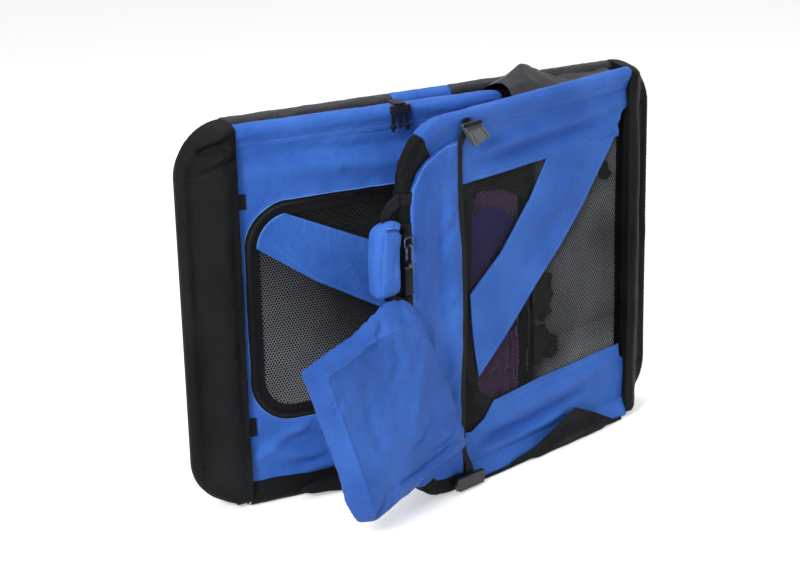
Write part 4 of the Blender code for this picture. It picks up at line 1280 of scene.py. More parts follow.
def raise_points(piece: Piece, lift: Callable[[np.ndarray, np.ndarray], np.ndarray]) -> None:
    """Move a piece's points the way they face, by what a rule says for their places and directions.

    Args:
        piece: The piece.
        lift: The rule, which gives each point's way in metres.
    """
    points = read_points(piece.data)
    normals = np.array([tuple(n.vector) for n in piece.data.vertex_normals])
    move_points(piece, points + normals * lift(points, normals)[:, None])


def bake_modifiers(piece: Piece) -> None:
    """Make a piece's modifiers part of its mesh.

    Args:
        piece: The piece.
    """
    mesh = evaluated(piece)
    piece.modifiers.clear()
    piece.data = mesh


def modify(piece: Piece, kind: str, **settings: object) -> bpy.types.Modifier:
    """Give a piece a modifier.

    Args:
        piece: The piece.
        kind: The modifier's type.
        settings: Its settings by their names.

    Returns:
        The modifier.
    """
    made = piece.modifiers.new(kind.lower(), kind)
    for key, value in settings.items():
        setattr(made, key, value)
    return made


def copy_node(node: str, name: str, finish: Finish) -> Piece:
    """Start a new piece from a CAD node's form, its loose triangles merged.

    Args:
        node: The CAD node.
        name: The new piece's name.
        finish: Its finish.

    Returns:
        The piece.
    """
    bm = bmesh.new()
    bm.from_mesh(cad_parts[node].data)
    bmesh.ops.remove_doubles(bm, verts=bm.verts, dist=1e-6)
    bmesh.ops.recalc_face_normals(bm, faces=bm.faces)
    mesh = bpy.data.meshes.new(name)
    bm.to_mesh(mesh)
    bm.free()
    mesh.materials.clear()
    mesh.materials.append(finish.material())
    return hang_up(name, mesh)


@dataclass(frozen=True)
class Filling:
    """How a padded piece is blown up from its form: its grid, its pressure and how far it may swell."""

    voxel: float
    pressure: float
    cap: float
    shrink: float = 0.0
    frames: int = 20

    def fill(self, piece: Piece) -> None:
        """Args:
            piece: The piece.
        """
        raise_points(piece, lambda points, _: np.full(len(points), -self.shrink))
        modify(piece, "REMESH", mode="VOXEL", voxel_size=self.voxel)
        bake_modifiers(piece)
        rest = read_points(piece.data)
        cloth = modify(piece, "CLOTH")
        cloth.settings.quality = 5
        cloth.settings.use_pressure = True
        cloth.settings.uniform_pressure_force = self.pressure
        cloth.settings.effector_weights.gravity = 0.0
        cloth.settings.bending_stiffness = 0.8
        cloth.point_cache.frame_start, cloth.point_cache.frame_end = 1, self.frames
        for step in range(self.frames):
            bpy.context.scene.frame_set(step + 1)
        bake_modifiers(piece)
        bpy.context.scene.frame_set(1)
        moved = read_points(piece.data) - rest
        move_points(piece, rest + moved / np.maximum(np.linalg.norm(moved, axis=1) / self.cap, 1.0)[:, None])
        modify(piece, "SUBSURF", levels=1, render_levels=1)
        bake_modifiers(piece)
        piece.data.shade_smooth()


def press(piece: Piece, plane: Plane, folds: Folds, face: float = 0.0) -> None:
    """Lift or sink a padded piece's surface along drawn folds.

    Args:
        piece: The piece.
        plane: The plane that the folds are drawn on.
        folds: The folds.
        face: How much a point has to face out of the plane to be moved, from -1 to 1.
    """
    raise_points(piece, lambda points, normals: Relief(folds).lift(plane.flat(points)[:, (0, 2)])
                 * np.clip((normals @ np.array(plane.outward()) - face) * 3.0, 0, 1))


def roughen(piece: Piece, height: float, scale: float, seed: float, flow: float) -> None:
    """Give a piece's surface soft irregular waves.

    Args:
        piece: The piece.
        height: How high they are.
        scale: How many there are in a metre.
        seed: Which of the many patterns it is.
        flow: The pattern's scale upwards.
    """
    raise_points(piece, lambda points, _: height * np.array([
        noise.noise(Vector((x * scale, y * scale, z * scale * flow + seed))) for x, y, z in points]))


def keep_behind(piece: Piece, plane: Plane, limit: float) -> None:
    """Push back whatever of a piece comes further out of a plane than it may.

    Args:
        piece: The piece.
        plane: The plane.
        limit: The furthest out that it may come.
    """
    points = read_points(piece.data)
    over = np.maximum(plane.flat(points)[:, 1] - limit, 0.0)
    move_points(piece, points - over[:, None] * np.array(plane.outward()))


def soften_node(node: str, name: str, body: str, finish: Finish, levels: int, round_edge: float) -> Piece:
    """A fuller copy of a CAD node, its edges rounded and its faces refined, in the node's place.

    Args:
        node: The CAD node.
        name: The new piece's name.
        body: The body that it rides on.
        finish: Its finish.
        levels: How often its faces are divided.
        round_edge: How wide its edges are rounded.

    Returns:
        The piece.
    """
    piece = copy_node(node, name, finish)
    modify(piece, "DECIMATE", decimate_type="DISSOLVE", angle_limit=math.radians(2))
    modify(piece, "BEVEL", width=round_edge, segments=2, limit_method="ANGLE", angle_limit=math.radians(30))
    bake_modifiers(piece)
    bm = bmesh.new()
    bm.from_mesh(piece.data)
    bmesh.ops.triangulate(bm, faces=[f for f in bm.faces if len(f.verts) > 4])
    for _ in range(levels):
        bmesh.ops.subdivide_edges(
            bm, edges=[e for e in bm.edges if e.calc_length() > 0.006], cuts=1, use_grid_fill=True)
    bm.to_mesh(piece.data)
    bm.free()
    piece.data.shade_smooth()
    piece.data.set_sharp_from_angle(angle=math.radians(42))
    return dress(piece, body, finish, node)


# The base


@dataclass(frozen=True)
class End:
    """A short end of the base, whose cloth reaches from the back round to the hinge line."""

    label: str
    side: float
    plane: Plane
    edge: float
    top: float
    depth: float
    folds: Folds


LEFT_END = End("left", -1.0, LEFT, -0.3665, 0.6545, 0.0455, (
    fold(3.5, -2.2, -449, 574, -425, 571, -400, 584, -386, 606, -382, 625),
    fold(3.5, -1.8, -449, 82, -415, 74, -385, 66, -368, 62),
    fold(7, 6, -432, 618, -405, 634, -378, 642),
    fold(6.5, -13.5, -424, 606, -402, 619, -380, 626),
    fold(6.5, 7.5, -414, 590, -392, 604, -369, 612),
    fold(6, -4.5, -420, 574, -396, 586, -372, 592),
    fold(3, -1.2, -376, 60, -377, 560),
    fold(16, -2.5, -430, 480, -420, 300, -428, 130),
    Ripple(22, 9, 0.0040, 4.0), Ripple(60, 26, 0.0014, 8.0)))
RIGHT_END = End("right", 1.0, RIGHT, 0.3720, 0.6525, 0.0670, (
    fold(4, -2, 450, 574, 420, 566, 392, 560),
    fold(4, -1.8, 449, 90, 420, 78, 388, 70),
    fold(16, 3, 400, 560, 410, 360, 402, 150),
    fold(14, -3, 436, 520, 432, 330, 438, 180),
    Ripple(22, 8, 0.0040, 14.0), Ripple(60, 26, 0.0014, 18.0)))


@dataclass
class Base:
    """The fixed part: tube frame, padded floor, long rails and the corner cloth over the hinges."""

    length: float = 0.910
    bend: float = 0.070
    cover: float = 0.0138
    blue_from: float = -0.066
    blue_to: float = 0.045
    rail_from: float = -0.372
    rail_to: float = 0.380
    foot: float = 0.0008
    back_depth: float = 0.0135
    lanes: tuple[float, ...] = (-0.26, -0.087, 0.087, 0.26)

    def rails(self, tailor: Tailor) -> None:
        """Sew the cloth over the two long tubes.

        Args:
            tailor: What lays the stitches.
        """
        top, foot, gap = RailPath(0.6380, -1.0, 0.0036), RailPath(TUBE, 1.0), 0.0006
        # The top rail's outer stretches take the paler black, partly painted light on their upward faces.
        runs = (
            ("left", top, self.rail_from, self.blue_from - gap, LIT_SATIN, "base_top_sleeve_left"),
            ("blue", top, self.blue_from, self.blue_to, BLUE, "base_top_blue_section"),
            ("right", top, self.blue_to + gap, self.rail_to, LIT_SATIN, "base_top_sleeve_right"),
            ("foot", foot, self.rail_from, self.rail_to, BLACK, "base_bottom_sleeve"),
        )
        for k, (label, path, start, stop, finish, node) in enumerate(runs):
            piece = Sleeve(f"rail_cloth_{label}", BACK, start, stop, finish, path, radius=0.0138, depth=0.036,
                           tip=0.0024, slack=0.0020, seed=3.0 + 7 * k).build(node)
            level = path.height - 0.001 * (path is top) + path.inward * 0.026
            thread = THREAD if finish is BLUE else DARK_THREAD
            for side in (1.0, -1.0):
                tailor.sew(piece, BACK, [(start + 0.004, level), (stop - 0.004, level)], thread, side=side)
            if finish is BLUE:
                tailor.sew(piece, BACK, [(start + 0.003, 0.6365), (stop - 0.003, 0.6365)])
                for edge in (start + 0.003, stop - 0.003):
                    tailor.sew(piece, BACK, [(edge, 0.612), (edge, 0.646)])

    def rim(self, end: End) -> list[Spot]:
        """The round outer edge of a corner cloth, from its top down.

        Args:
            end: The end of the base.

        Returns:
            The edge's points.
        """
        wide = low = self.bend + TUBE
        across, high = self.length / 2 - wide, RAIL_TOP - low
        turns = np.linspace(0, math.pi / 2, 17)
        upper = [(end.side * (across + wide * math.sin(t)), high + (end.top - high) * math.cos(t)) for t in turns]
        return upper + [(end.side * (across + wide * math.sin(t)), low - (low - self.foot) * math.cos(t))
                        for t in turns[::-1]]

    def over_tube(self, flat: np.ndarray) -> np.ndarray:
        """How far cloth has to stand out to clear the base's tube.

        Args:
            flat: The places, their u and z in a row.

        Returns:
            The distance that each place needs.
        """
        across, low = self.length / 2 - TUBE - self.bend, TUBE + self.bend
        line = [(0.0, RAIL_TOP - TUBE), *arc((across, RAIL_TOP - low), self.bend, 90, 0),
                *arc((across, low), self.bend, 0, -90), (0.0, TUBE)]
        gap = rim_gap(np.stack((np.abs(flat[:, 0]), flat[:, 1]), axis=1), line, False)
        return np.sqrt(np.maximum(self.cover ** 2 - gap ** 2, 0))

    def corner_cloth(self, end: End) -> Piece:
        """The black cloth that wraps a short end.

        Args:
            end: The end.

        Returns:
            The piece.
        """
        rim = self.rim(end)

        def front(flat: np.ndarray) -> np.ndarray:
            """Rounded at the rim, then out to the hinge line.

            Args:
                flat: The places, their u and z in a row.

            Returns:
                How far the front stands out at each place.
            """
            gaps = (rim_gap(flat, rim, False) / 0.014, (end.top - flat[:, 1]) / 0.008, flat[:, 1] / 0.005)
            full = np.prod([swell(gap) for gap in gaps], axis=0)
            inner = smooth(np.clip((self.length / 2 - np.abs(flat[:, 0]) - 0.014) / 0.058, 0, 1))
            loose = 0.001 + (0.0140 + (end.depth - 0.0150) * inner) * full
            folds = Relief(end.folds).lift(flat) * np.clip(full * 1.2 - 0.2, 0, 1)
            return np.maximum(loose + folds, self.over_tube(flat))

        def back(flat: np.ndarray) -> np.ndarray:
            """Nearly flat, rounded at the rim."""
            thin = self.back_depth * swell(rim_gap(flat, rim, False) / 0.016) - 0.0005
            return -np.maximum(thin, self.over_tube(flat))

        outline = [(end.edge, self.foot), (end.edge, end.top), *rim]
        piece = Patch(f"{end.label}_corner_cloth", BACK, outline, BLACK, spacing=0.0040, front=front, back=back).build()
        axis_x, axis_y = end.plane.origin
        points = read_points(piece.data)
        near = np.clip((0.030 - end.side * (points[:, 0] - axis_x)) / 0.040, 0, 1)
        ahead = np.clip((-points[:, 1] + axis_y * 0.55) / 0.012, 0, 1)
        join_ends(piece, end.plane.body, ((axis_x, 0.0, 0.3), (axis_x, axis_y, 0.3)), smooth(near) * smooth(ahead),
                  f"base_{end.label}_sleeve", f"{end.label}_side_cover")
        return piece

    def floor(self, tailor: Tailor) -> None:
        """Sew the padded floor between the tubes.

        Args:
            tailor: What lays the stitches.
        """
        soft = Relief((Ripple(7, 6, 0.006, 21.0), Ripple(24, 20, 0.0022, 22.0)))
        seams = Relief(tuple(Fold(((x, 0.03), (x, 0.62)), 0.012, 0.0030) for x in self.lanes))
        piece = Patch("floor_cloth", BACK, rounded(-0.430, 0.430, 0.029, 0.621, 0.050), BLACK, spacing=0.0085,
                      front=lambda flat: 0.0050 + soft.lift(flat) - seams.lift(flat),
                      back=lambda flat: -0.0032 + soft.lift(flat) + seams.lift(flat)).lay("floor_panel", padded=0.4)
        for x in self.lanes:
            for side in (1.0, -1.0):
                tailor.sew(piece, BACK, [(x, 0.045), (x, 0.605)], DARK_THREAD, 0.0055, side)
        tailor.sew(piece, BACK, rounded(-0.420, 0.420, 0.044, 0.606, 0.045), DARK_THREAD, 0.0055, -1.0, True)

    def build(self, tailor: Tailor) -> None:
        """Build and dress the base.

        Args:
            tailor: What lays the stitches.
        """
        repaint(STEEL, "base_tube")
        repaint(COATED, *(f"{end}_{level}_hinge_{part}" for end in ("left", "right") for level in ("lower", "upper")
                          for part in ("bracket", "pin")))
        self.rails(tailor)
        left, right = self.corner_cloth(LEFT_END), self.corner_cloth(RIGHT_END)
        self.floor(tailor)
        for piece, line in ((left, spots(-447, 570, -425, 567, -400, 580, -390, 602)),
                            (left, spots(-447, 86, -415, 78, -400, 73)),
                            (right, spots(447, 570, 420, 562, 415, 561))):
            tailor.sew(piece, BACK, line, DARK_THREAD)


@dataclass
class Fan:
    """Side-wall cloth between the base's rail and a hoop's post."""

    end: End
    high: bool
    start: float = 0.030
    reach: float = 0.300
    thick: float = 0.0013
    bump: float = 0.0
    bump_at: float = 0.231
    bump_half: float = 0.098
    columns: int = 74
    rows: int = 44

    def bulge(self, r: float, y: float, t: float, arch: float) -> float:
        """The height of the fold that stands up between the rails.

        Args:
            r: The distance from the hinge.
            y: The place across the crate.
            t: The share of the way from the rail to the post.
            arch: How free the cloth is there.

        Returns:
            The height.
        """
        lean = (r - self.bump_at) / self.bump_half
        off = min(1.0, abs(lean))
        peak = max(0.0, 1.0 - math.sqrt(off * off + 0.0016)) if off < 0.99 else 0.0
        ridge = max(0.0, 1.0 - abs(t - 0.52 - 0.25 * lean) / 0.52)
        crease = max(0.0, 1.0 - abs(t - 0.30 + 0.42 * lean) / 0.09)
        crease += 0.8 * max(0.0, 1.0 - abs(t - 0.86 + 0.55 * lean) / 0.08)
        lift = 0.002 + self.bump * 1.06 * peak * ridge ** 0.8 * min(1.0, arch * 2.2)
        lift += 0.0075 * noise.noise(Vector((r * 34 - y * 30, y * 12, 5.0))) * arch * (0.25 + off)
        return lift - 0.0042 * crease * arch * peak

    def build(self) -> None:
        """Make the fan, bake it in place and hide the gusset that it stands for."""
        side, plane = self.end.side, self.end.plane
        level, up = (0.637, 1.0) if self.high else (TUBE, -1.0)
        slope = abs(plane.along[1] / plane.along[0])
        points, marks, share = [], [], []
        for layer in (0.0, self.thick):
            for i in range(self.columns + 1):
                r = self.start + (self.reach - self.start) * i / self.columns
                back_y, front_y = -0.004, plane.origin[1] - r * slope + 0.006
                ramp = math.sin(math.pi * min(1.0, i / self.columns * 1.15 + 0.1))
                for j in range(self.rows + 1):
                    t = j / self.rows
                    y = back_y + (front_y - back_y) * t
                    arch = math.sin(math.pi * t)
                    if self.bump:
                        lift = self.bulge(r, y, t, arch)
                    else:
                        lift = -0.018 * arch ** 2 * (0.4 + 0.6 * ramp)
                        lift += 0.0060 * noise.noise(Vector((r * 26 + y * 20, y * 14, level * 9 + side))) * arch
                    lift += 0.0016 * noise.noise(Vector((r * 40, y * 60, side * 3 + level))) * arch
                    points.append((plane.origin[0] - side * r, y, level + up * (0.002 + lift + layer)))
                    marks.append((r, y))
                    share.append(t)
        wide, count = self.rows + 1, (self.columns + 1) * (self.rows + 1)
        under = [(a + 1, a + wide + 1, a + wide, a)
                 for i in range(self.columns) for a in range(i * wide, i * wide + self.rows)]
        rim = [*range(0, self.columns * wide, wide), *range(self.columns * wide, count - 1),
               *range(count - 1, self.rows, -wide), *range(self.rows, 0, -1)]
        faces = under + [tuple(a + count for a in face[::-1]) for face in under]
        faces += [(a, b, b + count, a + count) for a, b in zip(rim, rim[1:] + rim[:1])]
        label = f"{'upper' if self.high else 'lower'}_{self.end.label}"
        # Upper fans take the paler black, partly painted light on their upward faces.
        finish = LIT_SATIN if self.high else BLACK
        piece = make_piece(f"{label}_fan_cloth", np.array(points), faces, finish, np.array(marks))
        axis = plane.point(0, 0, level)
        weight = np.clip((np.array(share) - 0.04) / 0.92, 0, 1)
        join_ends(piece, plane.body, (axis, axis + Vector((0, -0.05, 0))), weight, f"{label}_gusset")
        cut_size(piece, "folded", "base_tube", plane.body + "_tube")


# The hoops


@dataclass
class Hoop:
    """A hinged end: cloth over a steel tube, with a blue panel between."""

    plane: Plane
    far: float = 0.536
    low: float = 0.0275
    top: float = 0.6225
    corner: float = 0.075
    level: float = 0.0014

    def sleeves(self, seed: float, *runs: tuple[str, str, float, float, Finish, float]) -> list[Piece]:
        """Sew the cloth over the tube, and give the tube its steel.

        Args:
            seed: Which of the many wrinkle patterns comes first.
            runs: The label, CAD node, start, stop, finish and depth of each stretch.

        Returns:
            The sleeves.
        """
        side = self.plane.body.removesuffix("_hoop")
        repaint(STEEL, f"{side}_hoop_tube")
        return [Sleeve(f"{side}_{label}_sleeve", self.plane, start, stop, finish, seed=seed + 5 * k,
                       depth=depth).build(f"{side}_{node}_sleeve")
                for k, (label, node, start, stop, finish, depth) in enumerate(runs)]

    def far_edge(self, turn: int) -> list[Spot]:
        """The panel's edge round its far corners, upwards for 1 and downwards for -1.

        Args:
            turn: The direction, 1 or -1.

        Returns:
            The edge's points.
        """
        along = self.far - self.corner
        edge = [*arc((along, self.low + self.corner), self.corner, -90, 0),
                *arc((along, self.top - self.corner), self.corner, 0, 90)]
        return edge[::turn]

    def seams(self, tailor: Tailor, piece: Piece, *lines: Sequence[Spot]) -> None:
        """Sew lines of blue thread on a piece."""
        for line in lines:
            tailor.sew(piece, self.plane, line)

    def patch(self, name: str, outline: Sequence[Spot], finish: Finish, *relief: object, **settings: object) -> Patch:
        """A piece of cloth on the hoop's plane, its relief given by its parts."""
        return Patch(name, self.plane, outline, finish, Relief(*relief), **settings)


@dataclass
class LeftHoop(Hoop):
    """The left end: panel with a zip door of net, its band, and the cloth over the tube."""

    plane: Plane = LEFT
    edge: float = 0.0165
    cap: float = 0.028
    door_near: float = 0.035
    door_far: float = 0.490
    door_low: float = 0.145
    door_top: float = 0.510
    door_corner: float = 0.072
    teeth_out: float = 0.0029
    folds: Folds = (
        fold(14, -10.1, 20, 592, 120, 590, 240, 582, 360, 580, 500, 575),
        fold(20, 7.2, 30, 570, 160, 566, 320, 556, 500, 548),
        fold(10, -3.6, 20, 560, 60, 530, 110, 515),
        fold(9, -4.5, 200, 555, 240, 532, 270, 520),
        fold(14, -8.5, 30, 120, 120, 98, 220, 82, 340, 70),
        fold(12, 9, 50, 88, 150, 64, 260, 52),
        fold(10, 6.1, 20, 75, 80, 105, 140, 128),
        fold(9, -6.1, 100, 50, 190, 70, 280, 105),
        fold(8, 5, 60, 40, 200, 45, 360, 40),
        Ripple(9, 13, 0.0030, 31.0), Ripple(34, 42, 0.0008, 32.0))

    def door(self, grow_by: float) -> list[Spot]:
        """The door's outline, grown by a distance."""
        return rounded(self.door_near - grow_by, self.door_far + grow_by, self.door_low - grow_by,
                       self.door_top + grow_by, self.door_corner + grow_by)

    def panel(self, tailor: Tailor) -> None:
        """Sew the tube's cloth, cut the blue panel and hem its door.

        Args:
            tailor: What lays the stitches.
        """
        post, _, _, top_from, end = HOOP.stops()
        cap, gap = self.cap, 0.0005
        top = self.sleeves(41.0, ("top", "upper_post", top_from - cap, end - self.edge, BLUE, 0.027),
                           ("bar", "far_bar", post + cap + gap, top_from - cap - gap, BLACK, 0.027),
                           ("foot", "lower_post", self.edge, post + cap, BLACK, 0.027))[0]
        self.seams(tailor, top, [(self.edge + 0.004, 0.6165), (0.455, 0.6165)])
        outline = [(self.edge - 0.002, self.low), (self.far - self.corner, self.low), *self.far_edge(1),
                   (self.edge - 0.002, self.top)]
        piece = self.patch("left_panel_cloth", outline, BLUE, self.folds, self.level, holes=[self.door(0.005)]).lay(
            "left_panel", sheet=("stretched", "left_hoop_tube"))
        tailor.sew(piece, LEFT, self.door(0.0105), closed=True)
        edge = self.door(0.0066)
        tailor.pipe(piece, LEFT, edge[15:] + edge[:1], "door_edging")
        self.seams(tailor, piece, [(self.edge + 0.004, 0.040), (self.edge + 0.004, 0.605)], spots(24, 36, 440, 36))

    def door_parts(self) -> None:
        """Set the zip with its teeth, its hem and the net in the door."""
        self.patch("door_zip_tape", self.door(0.0062), TAPE, self.folds[:1], 0.0026, holes=[self.door(-0.0068)],
                   thick=0.0026, spacing=0.0034).lay("left_door_zip")
        self.patch("door_hem", self.door(-0.0050), BLACK, (Ripple(20, 20, 0.0008, 36.0),), 0.0012,
                   holes=[self.door(-0.0185)], spacing=0.0036).lay()
        row = Row()
        line = [LEFT.point(u, self.teeth_out, z) for u, z in walk(self.door(0.0), 0.0021)]
        for start, stop in zip(line, line[1:] + line[:1]):
            row.mark(start, stop, LEFT.outward())
        row.grow("door_zip_teeth", LEFT.body, Unit.TOOTH, PLASTIC, (0.0012, 0.0040, 0.0011))
        # Painted shade on the door net: the yarn darkens upwards and towards the right hoop, whose shadow falls there.
        weave_net("door_net", LEFT, self.door(-0.0150), Relief((Ripple(6, 6, 0.0024, 37.0),), -0.0016),
                  lambda u, z: np.clip((u - 0.10) / 0.22 + (z - 0.24) / 0.26, 0.0, 0.92), "left_door_mesh")

    def band(self, tailor: Tailor) -> None:
        """Lay the blue band across the net.

        Args:
            tailor: What lays the stitches.
        """
        corner = (self.door_near + self.door_corner, self.door_top - self.door_corner)
        radius = self.door_corner - 0.0150
        outline = arc(corner, radius, 176, 96, 18) + spots(290, 408, 474, 268, 474, 205, 256, 312, 150, 372)
        piece = self.patch("door_band_cloth", outline, BLUE, (
            Ripple(9, 9, 0.0024, 51.0), fold(16, -2.2, 160, 400, 240, 390, 320, 370),
            fold(14, 2, 190, 360, 280, 330, 360, 310), fold(12, -1.8, 220, 400, 250, 360, 310, 300)), 0.0030,
            thick=0.0020, spacing=0.0042).lay("left_door_band", sheet=("stretched", "left_panel_cloth"))
        tailor.pipe(piece, LEFT, arc(corner, radius - 0.0012, 175, 97, 18), "door_band_edging")
        self.seams(tailor, piece, arc(corner, radius - 0.004, 172, 98, 18),
                   spots(78, 446, 150, 376, 256, 316, 470, 210), spots(110, 489, 290, 404, 470, 266))

    def tabs(self) -> None:
        """Set the webbing tabs and the roll of black cloth under the lower post."""
        for name, low, high in (("upper_tab", 0.511, 0.536), ("lower_tab", 0.122, 0.154)):
            middle = (low + high) / 2
            Ribbon(name, LEFT.body, [LEFT.point(0.0085, 0.0042, middle), LEFT.point(0.0345, 0.0036, middle)],
                   UP, high - low, 0.0018).build()
        roll = soften_node("left_lower_fold", "lower_fold_cloth", LEFT.body, BLACK, 2, 0.002)
        roughen(roll, 0.004, 34, 61.0, 2.0)
        soften_node("male_buckle_webbing", "male_buckle_tape", LEFT.body, TAPE, 1, 0.0003)

    def build(self, tailor: Tailor) -> None:
        """Build and dress the left hoop.

        Args:
            tailor: What lays the stitches.
        """
        self.panel(tailor)
        self.door_parts()
        self.band(tailor)
        self.tabs()


@dataclass
class RightHoop(Hoop):
    """The right end: ragged blue panel, net window with its band, padded column, strap and stowed mat."""

    plane: Plane = RIGHT
    cap: float = 0.056
    column_far: float = 0.5495
    window: Sequence[Spot] = tuple(spots(
        24.5, 144, 191, 141, 350, 132, 376, 106, 408.5, 92, 429, 96, 426, 220, 422.5, 350, 427.5, 480, 430, 527,
        215.5, 529, 48, 531))
    ragged: Sequence[Spot] = tuple(spots(
        33, 530.5, 32, 531, 31, 541, 34, 552, 27, 560, 26, 569, 22, 577, 11, 580, 3, 587, 4, 597, 6.5, 604, 0, 611,
        0.5, 618, 12, 622.5))
    torn_foot: Sequence[Spot] = tuple(spots(
        -3, 27.5, -4, 44, 1, 54, 3, 70, 9, 82, 13, 100, 12, 114, 23.5, 120))
    folds: Folds = (
        fold(10, -4.8, 30, 606, 160, 598, 300, 590, 400, 590),
        fold(12, 6.3, 0, 588, 120, 586, 260, 580, 400, 574),
        fold(12, -11.3, 20, 566, 140, 562, 270, 558, 400, 556),
        fold(10, 3.9, 40, 545, 180, 542, 390, 538),
        fold(12, 6.9, 10, 118, 120, 112, 260, 98, 390, 92),
        fold(10, -13.7, 100, 82, 200, 72, 300, 66, 400, 66),
        fold(9, 7.8, 160, 58, 260, 52, 400, 48),
        Ripple(10, 16, 0.0030, 71.0), Ripple(36, 42, 0.0008, 72.0))
    column_folds: Folds = (
        fold(12, -4.1, 470, 585, 476, 480, 468, 330, 472, 120),
        fold(10, 3.5, 505, 560, 512, 440, 503, 260, 508, 90),
        fold(9, -4.9, 438, 480, 462, 452, 484, 440),
        fold(7, 3.2, 438, 500, 458, 492, 470, 470),
        fold(8, 3.8, 438, 360, 456, 348, 478, 352),
        fold(8, -4.3, 438, 330, 460, 322, 486, 330),
        fold(9, -4.6, 438, 215, 456, 190, 462, 160),
        fold(8, 3.5, 436, 150, 452, 130, 474, 118),
        Ripple(30, 9, 0.0030, 101.0), Ripple(60, 30, 0.0012, 102.0))
    mat_folds: Folds = (
        fold(11, -14, 400, 500, 350, 440, 320, 330, 350, 220),
        fold(10, -12, 260, 510, 290, 430, 280, 330, 300, 200),
        fold(9, -10, 400, 400, 330, 380, 250, 400),
        fold(10, -12, 390, 260, 320, 250, 250, 230),
        fold(9, -10, 395, 170, 330, 180, 255, 150))

    def panel(self, tailor: Tailor) -> None:
        """Sew the tube's cloth, then cut the blue panel with its ragged edge and the black cloth behind it.

        Args:
            tailor: What lays the stitches.
        """
        post, _, _, top_from, end = HOOP.stops()
        cap, low_cap, gap = self.cap, 0.036, 0.0005
        top = self.sleeves(81.0, ("top", "upper_post", top_from - cap, end - 0.010, BLUE, 0.024),
                           ("bar", "far_bar", post - low_cap, top_from - cap - gap, BLACK, 0.048),
                           ("foot", "lower_post", 0.012, post - low_cap - gap, BLUE, 0.024))[0]
        self.seams(tailor, top, spots(16, 621.5, 400, 620.5))
        outline = [*self.window, *self.ragged, (self.far - self.corner, self.top), *self.far_edge(-1), *self.torn_foot]
        piece = self.patch("right_panel_cloth", outline, BLUE, self.folds, self.level).lay(
            "right_panel", sheet=("stretched", "right_hoop_tube"))
        self.seams(tailor, piece, spots(52, 535.5, 215.5, 533.5, 396, 531.5), spots(28, 139, 200, 129.5, 356, 120.5),
                   spots(180, 33, 400, 40))
        self.patch("right_edge_cloth", spots(-16, 30, 55, 30, 50, 140, 46, 535, 52, 618, -12, 618, -20, 520, -14, 300,
                                             -20, 120), BLACK,
                   (Ripple(26, 8, 0.0020, 75.0), Ripple(60, 30, 0.0010, 76.0)), -0.0125, spacing=0.0044).lay(
            sheet=("stretched", "right_panel_cloth"))

    def net_window(self, tailor: Tailor) -> None:
        """Stretch the net, lay the band over it and hem its far side.

        Args:
            tailor: What lays the stitches.
        """
        # Painted shade on the window net: the yarn turns dark over the mat, beyond u of about 0.25, and is palest below
        # z 0.2.
        weave_net("window_net", RIGHT, spots(34, 134, 350, 122, 376, 96, 415, 82, 431, 86, 431, 536, 34, 540),
                  Relief((Ripple(6, 6, 0.0024, 77.0),), -0.0020),
                  lambda u, z: np.clip(0.46 + (u - 0.225) / 0.05, 0.40 - 0.2 * (z < 0.2), 0.95), "right_window_mesh")
        band = self.patch("window_band_cloth", spots(
            42.5, 536, 217, 534, 261, 468, 335, 390, 406, 335, 400, 262, 387.5, 186, 330, 236, 250, 312, 185, 368,
            123, 432, 78, 490), BLUE, (
            Ripple(8, 8, 0.0026, 91.0), fold(14, 2.6, 120, 520, 180, 460, 260, 400),
            fold(12, -2.4, 140, 470, 220, 390, 330, 300), fold(9, -1.8, 100, 505, 150, 490, 200, 495)), 0.0034,
            thick=0.0018, spacing=0.0042).lay("right_window_band", sheet=("stretched", "right_panel_cloth"))
        self.seams(tailor, band, spots(218, 529, 257, 466, 332, 387, 402, 332),
                   spots(49, 531, 82, 492, 127, 435, 189, 371, 254, 315, 384, 193))
        self.patch("window_rim_cloth", spots(
            434, 533, 436, 60, 404, 70, 372, 94, 348, 120, 352, 138, 372, 146, 386, 162, 388, 205, 400, 230,
            403.5, 300, 398.5, 420, 397.5, 468, 393, 480, 392, 533), BLACK, (Ripple(40, 40, 0.0012, 95.0),), -0.0011,
            spacing=0.0044).lay(sheet=("stretched", "right_panel_cloth"))

    def column(self, tailor: Tailor) -> None:
        """Pad the blue border between the strap and the far bar.

        Args:
            tailor: What lays the stitches.
        """
        far = self.column_far
        outline = [*spots(435, 604, 435, 567, 433.5, 500, 427.2, 400, 425.8, 345, 429, 250, 432.5, 190, 435.2, 85,
                          430, 22), (far, 0.040), (far, 0.515),
                   *spots(545.5, 548, 529, 570, 508, 583, 480, 594, 456, 601)]

        def front(flat: np.ndarray) -> np.ndarray:
            """Full in the middle, thin at the sewn rim, and over the tube at the far side."""
            over = smooth(np.clip((flat[:, 0] - 0.505) / 0.030, 0, 1))
            return 0.0056 + 0.0075 * over + 0.0062 * swell(rim_gap(flat, outline) / 0.030)

        piece = self.patch("right_column_cloth", outline, BLUE, self.column_folds, spacing=0.0036, front=front,
                           back=lambda flat: np.full(len(flat), 0.0012)).lay("right_padded_column", padded=0.5)
        tailor.pipe(piece, RIGHT, spots(436, 600.5, 456, 598.5, 480, 591.5, 507.5, 580.5, 528, 568, 543.5, 547,
                                        547.8, 515, 547.8, 45), "column_edging")
        self.seams(tailor, piece, spots(433.5, 450, 429, 360, 432, 250, 437, 120, 436, 60),
                   spots(441, 596, 456, 595.5, 480, 588.5, 507, 577.5, 527, 565, 541.5, 546, 545.5, 515, 545.5, 45))

    def foot_edging(self) -> None:
        """Run the black edging along the foot."""
        line = [RIGHT.point(u, TUBE + 0.0006 * math.sin(u * 60), 0.0042) for u in np.linspace(0.030, 0.455, 60)]
        Ribbon("foot_edging", RIGHT.body, line, UP, 0.0060, 0.0030, BLACK, ripple=0.0008).build()

